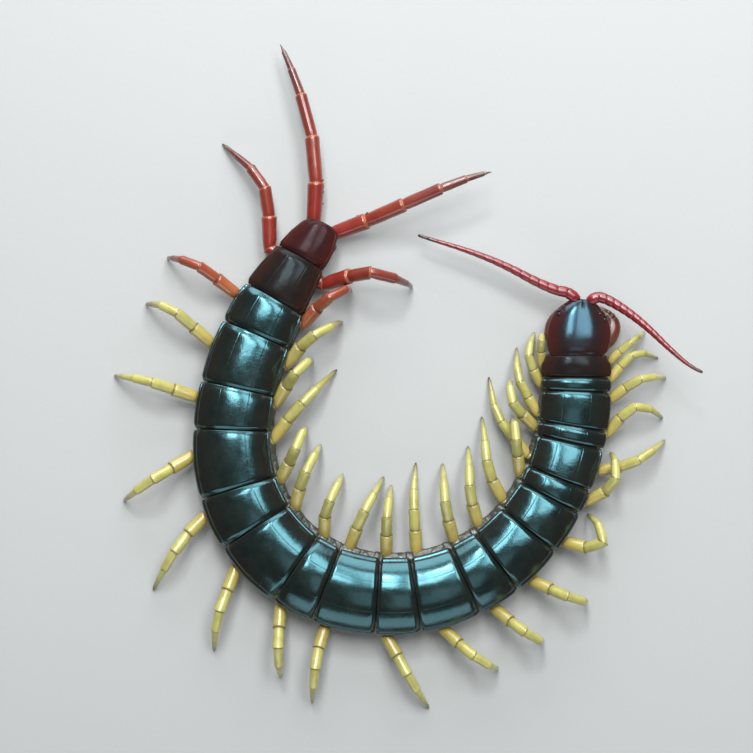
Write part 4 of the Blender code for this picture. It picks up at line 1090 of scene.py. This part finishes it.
def start_finish(name, roughness, **sockets):
    """New material with plain values on its shader; returns its tree and its shader."""
    made = bpy.data.materials.new(name)
    made.use_nodes = True
    tree = made.node_tree
    shader = tree.nodes["Principled BSDF"]
    shader.inputs["Roughness"].default_value = roughness
    for label, value in sockets.items():
        shader.inputs[label.replace("_", " ")].default_value = value
    return tree, shader


def add_relief(tree, shader, height, depth):
    """Feed a height into the shader's normal through a bump node of this depth in metres."""
    bump = add_node(tree, "ShaderNodeBump")
    bump.inputs["Strength"].default_value = 1.0
    bump.inputs["Distance"].default_value = depth
    tree.links.new(height, bump.inputs["Height"])
    tree.links.new(bump.outputs["Normal"], shader.inputs["Normal"])


def shell_finish(name, middle, mottled, flank, rim, sheen, gloss, relief):
    """Glossy plate with a mottled middle, another colour at its sides and a paler rim."""
    tree, shader = start_finish(name, 0.25, Coat_Weight=0.1 * gloss, Coat_Roughness=0.1,
                                Specular_IOR_Level=gloss, Specular_Tint=(*sheen, 1.0))
    marks = place_group(tree, "shell_relief", Dents=0.6, Grain=0.2, Pits=0.5)
    base = mix_colour(tree, marks.outputs["Mottle"], middle, mottled)
    sided = mix_colour(tree, ranged(tree, mark(tree, "side"), 0.45, 1.0), base, flank)
    edge = math_node(tree, "MULTIPLY", ranged(tree, mark(tree, "rim"), 0.3, 1.0), 0.6)
    tree.links.new(mix_colour(tree, edge, sided, rim), shader.inputs["Base Color"])
    tree.links.new(marks.outputs["Roughness"], shader.inputs["Roughness"])
    add_relief(tree, shader, marks.outputs["Height"], relief)


def skin_finish(colours):
    """Leathery skin: mottled grey-olive with darker small plates, and painted shade, nearly black, in the holes
    and under the plates.
    """
    tree, shader = start_finish("soft_skin", 0.34, Coat_Weight=0.6, Coat_Roughness=0.12)
    marks = place_group(tree, "shell_relief", Dents=1.0, Grain=0.6, Pits=0.2)
    soft = mix_colour(tree, marks.outputs["Mottle"], colours.skin, colours.skin_shade)
    plated = mix_colour(tree, ranged(tree, mark(tree, "hard"), 0.25, 0.75), soft, colours.small_plate)
    # Painted shade: near black in the dents of the breathing holes
    hole_shaded = mix_colour(tree, ranged(tree, mark(tree, "hole"), 0.25, 0.7), plated, HOLE_SHADE)
    # Painted shade: near black where the skin lies under the plates
    plate_shaded = mix_colour(tree, mark(tree, "covered"), hole_shaded, UNDER_PLATE_SHADE)
    tree.links.new(plate_shaded, shader.inputs["Base Color"])
    add_relief(tree, shader, marks.outputs["Height"], 0.00016)


def limb_finish(name, stops, joint_colour, claw):
    """Glossy limb: colours along its articles, thin joint lines and a dark claw."""
    articles = float(len(ARTICLE_LENGTH))
    tree, shader = start_finish(name, 0.3, Coat_Weight=0.5, Coat_Roughness=0.1)
    marks = place_group(tree, "limb_marks")
    relief = place_group(tree, "shell_relief", Dents=0.5, Grain=0.25, Pits=0.15)
    ramp = add_node(tree, "ShaderNodeValToRGB")
    tree.links.new(marks.outputs["Article"], ramp.inputs["Fac"])
    points = ramp.color_ramp.elements
    for index, (place, colour) in enumerate(stops):
        point = points[index] if index < 2 else points.new(place / articles)
        point.position = place / articles
        point.color = (*colour, 1.0)
    shade = math_node(tree, "MULTIPLY", ranged(tree, marks.outputs["Cloud"], 0.4, 0.7), 0.45)
    clouded = mix_colour(tree, shade, ramp.outputs["Color"], tuple(0.62 * c for c in stops[1][1]))
    lined = mix_colour(tree, math_node(tree, "MULTIPLY", marks.outputs["Joint"], 0.85), clouded, joint_colour)
    end = ranged(tree, marks.outputs["Article"], claw / articles, (claw + 0.35) / articles)
    tree.links.new(mix_colour(tree, end, lined, CLAW_BLACK), shader.inputs["Base Color"])
    add_relief(tree, shader, relief.outputs["Height"], 0.00008)


def plain_shell_finish(name, colour, mottled, roughness, depth):
    """Mottled smooth shell for the small parts of the head and the belly."""
    tree, shader = start_finish(name, roughness, Coat_Weight=0.4, Coat_Roughness=0.12)
    marks = place_group(tree, "shell_relief", Dents=0.6, Grain=0.3, Pits=0.3)
    tree.links.new(mix_colour(tree, marks.outputs["Mottle"], colour, mottled), shader.inputs["Base Color"])
    add_relief(tree, shader, marks.outputs["Height"], depth)


def tipped_finish(name, colour, mottled, tip_mark, low, high, joint_colour):
    """Smooth shell that darkens along one of the mesh's own values and at its joints."""
    tree, shader = start_finish(name, 0.32, Coat_Weight=0.4, Coat_Roughness=0.12)
    marks = place_group(tree, "shell_relief", Dents=0.5, Grain=0.35, Pits=0.15)
    base = mix_colour(tree, marks.outputs["Mottle"], colour, mottled)
    jointed = mix_colour(tree, math_node(tree, "MULTIPLY", mark(tree, "joint"), 0.7), base, joint_colour)
    tipped = mix_colour(tree, ranged(tree, mark(tree, tip_mark), low, high), jointed, TIP_BLACK)
    tree.links.new(tipped, shader.inputs["Base Color"])
    add_relief(tree, shader, marks.outputs["Height"], 0.00008)


def floor_finish(colour):
    """Matt floor with a faint cloud of tone."""
    tree, shader = start_finish("floor_paper", 0.85)
    place = add_node(tree, "ShaderNodeTexCoord").outputs["Object"]
    tone = mix_colour(tree, noise_value(tree, place, 9.0, 3.0), colour, tuple(0.95 * c for c in colour))
    tree.links.new(tone, shader.inputs["Base Color"])
    add_relief(tree, shader, noise_value(tree, place, 700.0, 2.0), 0.00003)


# Stage
def soft_sky(strength, backdrop):
    """Faint even light all round, which the camera itself sees as a pale backdrop."""
    world = bpy.data.worlds.new("soft_sky")
    world.use_nodes = True
    tree = world.node_tree
    sky = tree.nodes["Background"]
    sky.inputs["Color"].default_value = (*SKY_COLOUR, 1.0)
    seen = add_node(tree, "ShaderNodeLightPath").outputs["Is Camera Ray"]
    tree.links.new(scaled(tree, seen, backdrop - strength, strength), sky.inputs["Strength"])
    return world


def area_light(name, place, aim, size, power):
    """Rectangular lamp at a place that faces an aim: its turn is read from the line between them."""
    lamp = bpy.data.lights.new(name, "AREA")
    lamp.shape = "RECTANGLE"
    lamp.size, lamp.size_y = size
    lamp.energy = power
    lamp.color = LAMP_COLOUR
    holder = bpy.data.objects.new(name, lamp)
    away = [a - b for a, b in zip(place, aim)]
    flat = math.hypot(away[0], away[1])
    holder.location = place
    turn = math.atan2(away[1], away[0]) + math.pi / 2.0 if flat > 0.0 else 0.0
    holder.rotation_euler = (math.atan2(flat, away[2]), 0.0, turn)
    bpy.context.scene.collection.objects.link(holder)


# Settings
def colour_property(name, description, default):
    """Colour setting with a description."""
    return bpy.props.FloatVectorProperty(name=name, description=description, subtype="COLOR", size=3,
                                         min=0.0, max=1.0, default=default)


def length_property(name, description, default):
    """Length setting in metres with a description."""
    return bpy.props.FloatProperty(name=name, description=description, unit="LENGTH", min=0.0, max=0.01,
                                   precision=5, default=default)


def power_property(name, description, default):
    """Lamp power setting with a description."""
    return bpy.props.FloatProperty(name=name, description=description, unit="POWER", min=0.0, default=default)


class CentipedeSizes(bpy.types.PropertyGroup):
    """Fine sizes of the shell and the skin."""

    plate_thickness: length_property("Plate thickness", "Thickness of the back plates", 0.00045)
    pillow: length_property("Pillow", "Extra rise in the middle of each back plate", 0.00022)
    side_swell: length_property("Side swell", "How far each plate's sides curve out between its ends", 0.0001)
    rim_ridge: length_property("Rim ridge", "Height of the raised rim along the plates' sides", 0.00013)
    seam_depth: length_property("Seam depth", "Depth of the two long seams on each plate", 0.000025)
    seam_place: bpy.props.FloatProperty(name="Seam place",
                                        description="Share of the half width at the seams",
                                        min=0.2, max=0.6, default=0.38)
    flank_bulge: length_property("Flank bulge", "How far the skin bulges on the inner side of a bend", 0.0016)
    fold_depth: length_property("Fold depth", "Depth of the folds in the skin", 0.00011)


class CentipedeColours(bpy.types.PropertyGroup):
    """Colours of the shell, the skin and the limbs."""

    plate: colour_property("Plates", "Middle of the back plates", (0.006, 0.008, 0.0065))
    plate_mottle: colour_property("Plate mottle", "Clouds on the back plates", (0.012, 0.013, 0.0095))
    plate_flank: colour_property("Plate sides", "Sides of the back plates", (0.014, 0.009, 0.0065))
    plate_sheen: colour_property("Plate sheen", "Tint of the light that the plates mirror", (0.3, 0.85, 1.0))
    head: colour_property("Head", "Middle of the head shield", (0.014, 0.009, 0.009))
    head_flank: colour_property("Head sides", "Sides of the head shield", (0.045, 0.01, 0.008))
    tail: colour_property("Tail", "The last back plate", (0.034, 0.01, 0.01))
    skin: colour_property("Skin", "Soft skin of the flanks", (0.045, 0.048, 0.036))
    skin_shade: colour_property("Skin shade", "Clouds on the soft skin", (0.018, 0.02, 0.015))
    small_plate: colour_property("Small plates", "Small hard plates in the skin", (0.028, 0.03, 0.02))
    belly: colour_property("Belly", "Belly plates", (0.14, 0.1, 0.05))
    claw_red: colour_property("Poison claws", "Red-brown of the poison claws", (0.11, 0.026, 0.012))
    antenna: colour_property("Feelers", "Crimson of the feelers", (0.2, 0.011, 0.016))
    leg_base: colour_property("Thighs", "Ochre near the root of the legs", (0.37, 0.28, 0.07))
    leg: colour_property("Legs", "Yellow of the walking legs", (0.4, 0.37, 0.11))
    leg_foot: colour_property("Feet", "Olive grey of the feet", (0.26, 0.25, 0.1))


class CentipedeStage(bpy.types.PropertyGroup):
    """Floor, lights and camera."""

    floor: colour_property("Floor", "Colour of the floor", (0.38, 0.38, 0.376))
    sky: bpy.props.FloatProperty(name="Sky", description="Strength of the even light all round",
                                 min=0.0, max=5.0, default=0.08)
    backdrop: bpy.props.FloatProperty(name="Backdrop", description="Brightness of the pale backdrop",
                                      min=0.0, max=1.0, default=0.55)
    strip: power_property("Strip", "Power of the long overhead light to the north", 4.2)
    bar: power_property("Bar", "Power of the small bright light in the strip", 1.3)
    skylight: power_property("Skylight", "Power of the overhead light above the head", 4.2)
    glow: power_property("Glow", "Power of the wide upright light to the north", 6.5)
    fill: power_property("Fill", "Power of the small overhead light to the south", 0.16)
    bounce: power_property("Bounce", "Power of the wide upright light to the south", 2.8)
    lens: bpy.props.FloatProperty(name="Lens", description="Focal length of the camera", unit="CAMERA",
                                  min=10.0, default=73.35)


# Operators
class CentipedeOperator(bpy.types.Operator):
    """Shared ground of the centipede's operators."""

    bl_options = {"REGISTER", "UNDO"}


class CENTIPEDE_OT_finishes(CentipedeOperator):
    """Make the shared node groups and every finish of the animal."""

    bl_idname = "centipede.finishes"
    bl_label = "Finishes"

    def execute(self, context):
        colours = context.scene.centipede_colours
        shell_group()
        limb_group()
        sheen = tuple(colours.plate_sheen)
        plate, mottle, flank = (tuple(c) for c in (colours.plate, colours.plate_mottle, colours.plate_flank))
        shell_finish("back_plate", plate, mottle, flank, (0.03, 0.028, 0.02), sheen, 0.9, 0.00007)
        shell_finish("brown_plate", (0.011, 0.0085, 0.0085), (0.016, 0.011, 0.0095), (0.026, 0.011, 0.008),
                     (0.03, 0.018, 0.014), (0.3, 0.5, 0.56), 0.16, 0.00007)
        shell_finish("maroon_plate", tuple(colours.tail), (0.026, 0.0085, 0.009), (0.05, 0.011, 0.008),
                     (0.07, 0.025, 0.02), (0.4, 0.4, 0.45), 0.12, 0.00007)
        shell_finish("head_shield", tuple(colours.head), (0.02, 0.01, 0.009), tuple(colours.head_flank),
                     (0.04, 0.018, 0.014), (0.13, 0.4, 0.56), 0.9, 0.00005)
        skin_finish(colours)
        plain_shell_finish("belly_plate", tuple(colours.belly), (0.08, 0.06, 0.03), 0.35, 0.00006)
        plain_shell_finish("tail_flank", (0.11, 0.018, 0.012), (0.07, 0.012, 0.01), 0.3, 0.00006)
        red = tuple(colours.claw_red)
        plain_shell_finish("cheek", (0.06, 0.014, 0.009), (0.035, 0.01, 0.008), 0.3, 0.00005)
        plain_shell_finish("under_head", red, (0.1, 0.025, 0.012), 0.32, 0.00005)
        plain_shell_finish("eye_lens", (0.006, 0.006, 0.007), (0.012, 0.01, 0.01), 0.08, 0.00001)
        tipped_finish("poison_claw", red, (0.1, 0.024, 0.012), "tip", 0.2, 0.9, (0.05, 0.014, 0.01))
        crimson = tuple(colours.antenna)
        tipped_finish("feeler", crimson, (0.14, 0.009, 0.012), "along", 0.8, 1.02, (0.1, 0.008, 0.01))
        base, leg, foot = (tuple(c) for c in (colours.leg_base, colours.leg, colours.leg_foot))
        yellow = ((0.0, (0.24, 0.17, 0.05)), (1.2, base), (2.4, leg), (4.6, leg), (5.5, foot))
        limb_finish("yellow_leg", (*yellow, (6.2, (0.12, 0.09, 0.04))), (0.11, 0.075, 0.02), 6.15)
        dusky = ((0.0, (0.24, 0.14, 0.05)), (1.2, base), (2.4, leg), (4.0, leg))
        limb_finish("dusky_leg", (*dusky, *DUSKY_FOOT), (0.11, 0.05, 0.02), 6.15)
        limb_finish("orange_leg", ORANGE_STOPS, (0.12, 0.02, 0.012), 6.15)
        limb_finish("red_leg", RED_STOPS, (0.3, 0.08, 0.03), 6.3)
        return {"FINISHED"}


class CENTIPEDE_OT_skin(CentipedeOperator):
    """Build the soft skin of the trunk as one piece without a seam."""

    bl_idname = "centipede.skin"
    bl_label = "Soft skin"

    def execute(self, context):
        sizes = context.scene.centipede_sizes
        nodes = sorted({trunk_node(index) for index in range(LAST + 1)})
        build_piece("soft_skin", [skin_shape(sizes)], bpy.data.materials["soft_skin"], nodes)
        return {"FINISHED"}


class CENTIPEDE_OT_back_plates(CentipedeOperator):
    """Build the twenty-one back plates."""

    bl_idname = "centipede.back_plates"
    bl_label = "Back plates"

    def execute(self, context):
        sizes = context.scene.centipede_sizes
        for index in range(LAST + 1):
            finish = {0: "brown_plate", 19: "brown_plate", LAST: "maroon_plate"}.get(index, "back_plate")
            build_piece(f"back_plate_{index + 1:02d}", [plate_shape(index, sizes)],
                        bpy.data.materials[finish], [trunk_node(index)])
        return {"FINISHED"}


class CENTIPEDE_OT_belly_plates(CentipedeOperator):
    """Build the twenty-one belly plates."""

    bl_idname = "centipede.belly_plates"
    bl_label = "Belly plates"

    def execute(self, context):
        sizes = context.scene.centipede_sizes
        for index in range(LAST + 1):
            build_piece(f"belly_plate_{index + 1:02d}", [belly_shape(index, sizes)],
                        bpy.data.materials["belly_plate"], [trunk_node(index)])
        return {"FINISHED"}


class CENTIPEDE_OT_head(CentipedeOperator):
    """Build the head: shield, capsule, eyes, mouthparts and the plate that carries the poison claws."""

    bl_idname = "centipede.head"
    bl_label = "Head"

    def execute(self, context):
        sizes = context.scene.centipede_sizes
        pieces = [("head_shield", [head_plate_shape(sizes)], "head_shield"),
                  ("head_capsule", [capsule_shape()], "cheek"),
                  ("coxosternite", [coxosternite_shape()], "under_head")]
        for side, word in HEAD_SIDES:
            pieces.append((f"ocelli_{word}", ocelli_shapes(side), "eye_lens"))
            pieces.append((f"tooth_plate_{word}", tooth_shapes(side), "under_head"))
            pieces.append((f"mouth_palp_{word}", [palp_shape(side)], "under_head"))
        for name, shapes, finish in pieces:
            build_piece(name, shapes, bpy.data.materials[finish], ["head"])
        return {"FINISHED"}


class CENTIPEDE_OT_poison_claws(CentipedeOperator):
    """Build the two poison claws."""

    bl_idname = "centipede.poison_claws"
    bl_label = "Poison claws"

    def execute(self, context):
        for side, word in HEAD_SIDES:
            build_piece(f"poison_claw_{word}", forcipule_shapes(side), bpy.data.materials["poison_claw"],
                        [f"forcipule_{word}"])
        return {"FINISHED"}


class CENTIPEDE_OT_feelers(CentipedeOperator):
    """Build the two feelers."""

    bl_idname = "centipede.feelers"
    bl_label = "Feelers"

    def execute(self, context):
        for side, word in HEAD_SIDES:
            build_piece(f"feeler_{word}", [antenna_shape(side)], bpy.data.materials["feeler"],
                        [f"antenna_{word}"])
        return {"FINISHED"}


class CENTIPEDE_OT_walking_legs(CentipedeOperator):
    """Build the twenty pairs of walking legs."""

    bl_idname = "centipede.walking_legs"
    bl_label = "Walking legs"

    def execute(self, context):
        for pair in range(PAIRS):
            finish = {17: "dusky_leg", 18: "orange_leg", 19: "red_leg"}.get(pair, "yellow_leg")
            for side, word in SIDES:
                pose = (LEFT_POSE if side > 0 else RIGHT_POSE)[pair]
                build_piece(f"walking_leg_{pair + 1:02d}_{word}", walking_leg_shapes(pair, side, pose),
                            bpy.data.materials[finish], [f"leg_{pair + 1:02d}_{word}"])
        return {"FINISHED"}


class CENTIPEDE_OT_tail(CentipedeOperator):
    """Build the trailing legs and the swollen sides of the last segment."""

    bl_idname = "centipede.tail"
    bl_label = "Tail"

    def execute(self, context):
        for side, word in SIDES:
            build_piece(f"trailing_leg_{word}", ultimate_leg_shapes(side), bpy.data.materials["red_leg"],
                        [f"ultimate_leg_{word}"])
            build_piece(f"tail_flank_{word}", [coxopleuron_shape(side)], bpy.data.materials["tail_flank"],
                        ["trunk_21"])
        return {"FINISHED"}


class CENTIPEDE_OT_stage(CentipedeOperator):
    """Lay the floor, set the soft lights and place the camera almost straight above."""

    bl_idname = "centipede.stage"
    bl_label = "Stage"

    def execute(self, context):
        scene = context.scene
        settings = scene.centipede_stage
        mesh = bpy.data.meshes.new("floor")
        corners = [(x * FLOOR_REACH, y * FLOOR_REACH, 0.0) for x, y in ((-1, -1), (1, -1), (1, 1), (-1, 1))]
        mesh.from_pydata(corners, [], [(0, 1, 2, 3)])
        floor_finish(tuple(settings.floor))
        mesh.materials.append(bpy.data.materials["floor_paper"])
        floor = bpy.data.objects.new("floor", mesh)
        scene.collection.objects.link(floor)
        scene.view_settings.view_transform = "Standard"
        scene.world = soft_sky(settings.sky, settings.backdrop)
        for name, place, aim, size in LAMPS:
            area_light(name, place, aim, size, getattr(settings, name))
        camera = bpy.data.cameras.new("camera")
        camera.lens = settings.lens
        camera.sensor_width = SENSOR_WIDTH
        camera.clip_start = 0.01
        eye = bpy.data.objects.new("camera", camera)
        eye.location = CAMERA_PLACE
        eye.rotation_euler = (math.radians(CAMERA_TILT), 0.0, 0.0)
        scene.collection.objects.link(eye)
        scene.camera = eye
        return {"FINISHED"}


OPERATORS = (
    CENTIPEDE_OT_finishes, CENTIPEDE_OT_skin, CENTIPEDE_OT_back_plates, CENTIPEDE_OT_belly_plates,
    CENTIPEDE_OT_head, CENTIPEDE_OT_poison_claws, CENTIPEDE_OT_feelers, CENTIPEDE_OT_walking_legs,
    CENTIPEDE_OT_tail, CENTIPEDE_OT_stage,
)


class CENTIPEDE_PT_panel(bpy.types.Panel):
    """Buttons for every piece of the centipede, with its sizes and colours."""

    bl_label = "Giant Centipede"
    bl_space_type = "VIEW_3D"
    bl_region_type = "UI"
    bl_category = "Centipede"

    def draw(self, context):
        for group in ("centipede_sizes", "centipede_colours", "centipede_stage"):
            settings = getattr(context.scene, group)
            box = self.layout.box()
            for name in settings.bl_rna.properties.keys():
                if name not in ("rna_type", "name"):
                    box.prop(settings, name)
        for operator in OPERATORS:
            self.layout.operator(operator.bl_idname)


SETTINGS = (("centipede_sizes", CentipedeSizes), ("centipede_colours", CentipedeColours),
            ("centipede_stage", CentipedeStage))


def register():
    """Register the settings, the operators and the panel."""
    for name, group in SETTINGS:
        bpy.utils.register_class(group)
        setattr(bpy.types.Scene, name, bpy.props.PointerProperty(type=group))
    for operator in OPERATORS:
        bpy.utils.register_class(operator)
    bpy.utils.register_class(CENTIPEDE_PT_panel)


def unregister():
    """Take everything that register added away again."""
    bpy.utils.unregister_class(CENTIPEDE_PT_panel)
    for operator in reversed(OPERATORS):
        bpy.utils.unregister_class(operator)
    for name, group in reversed(SETTINGS):
        delattr(bpy.types.Scene, name)
        bpy.utils.unregister_class(group)


def main():
    """Build everything in order."""
    register()
    for operator in OPERATORS:
        getattr(bpy.ops.centipede, operator.bl_idname.split(".")[1])()


if __name__ == "__main__":
    main()
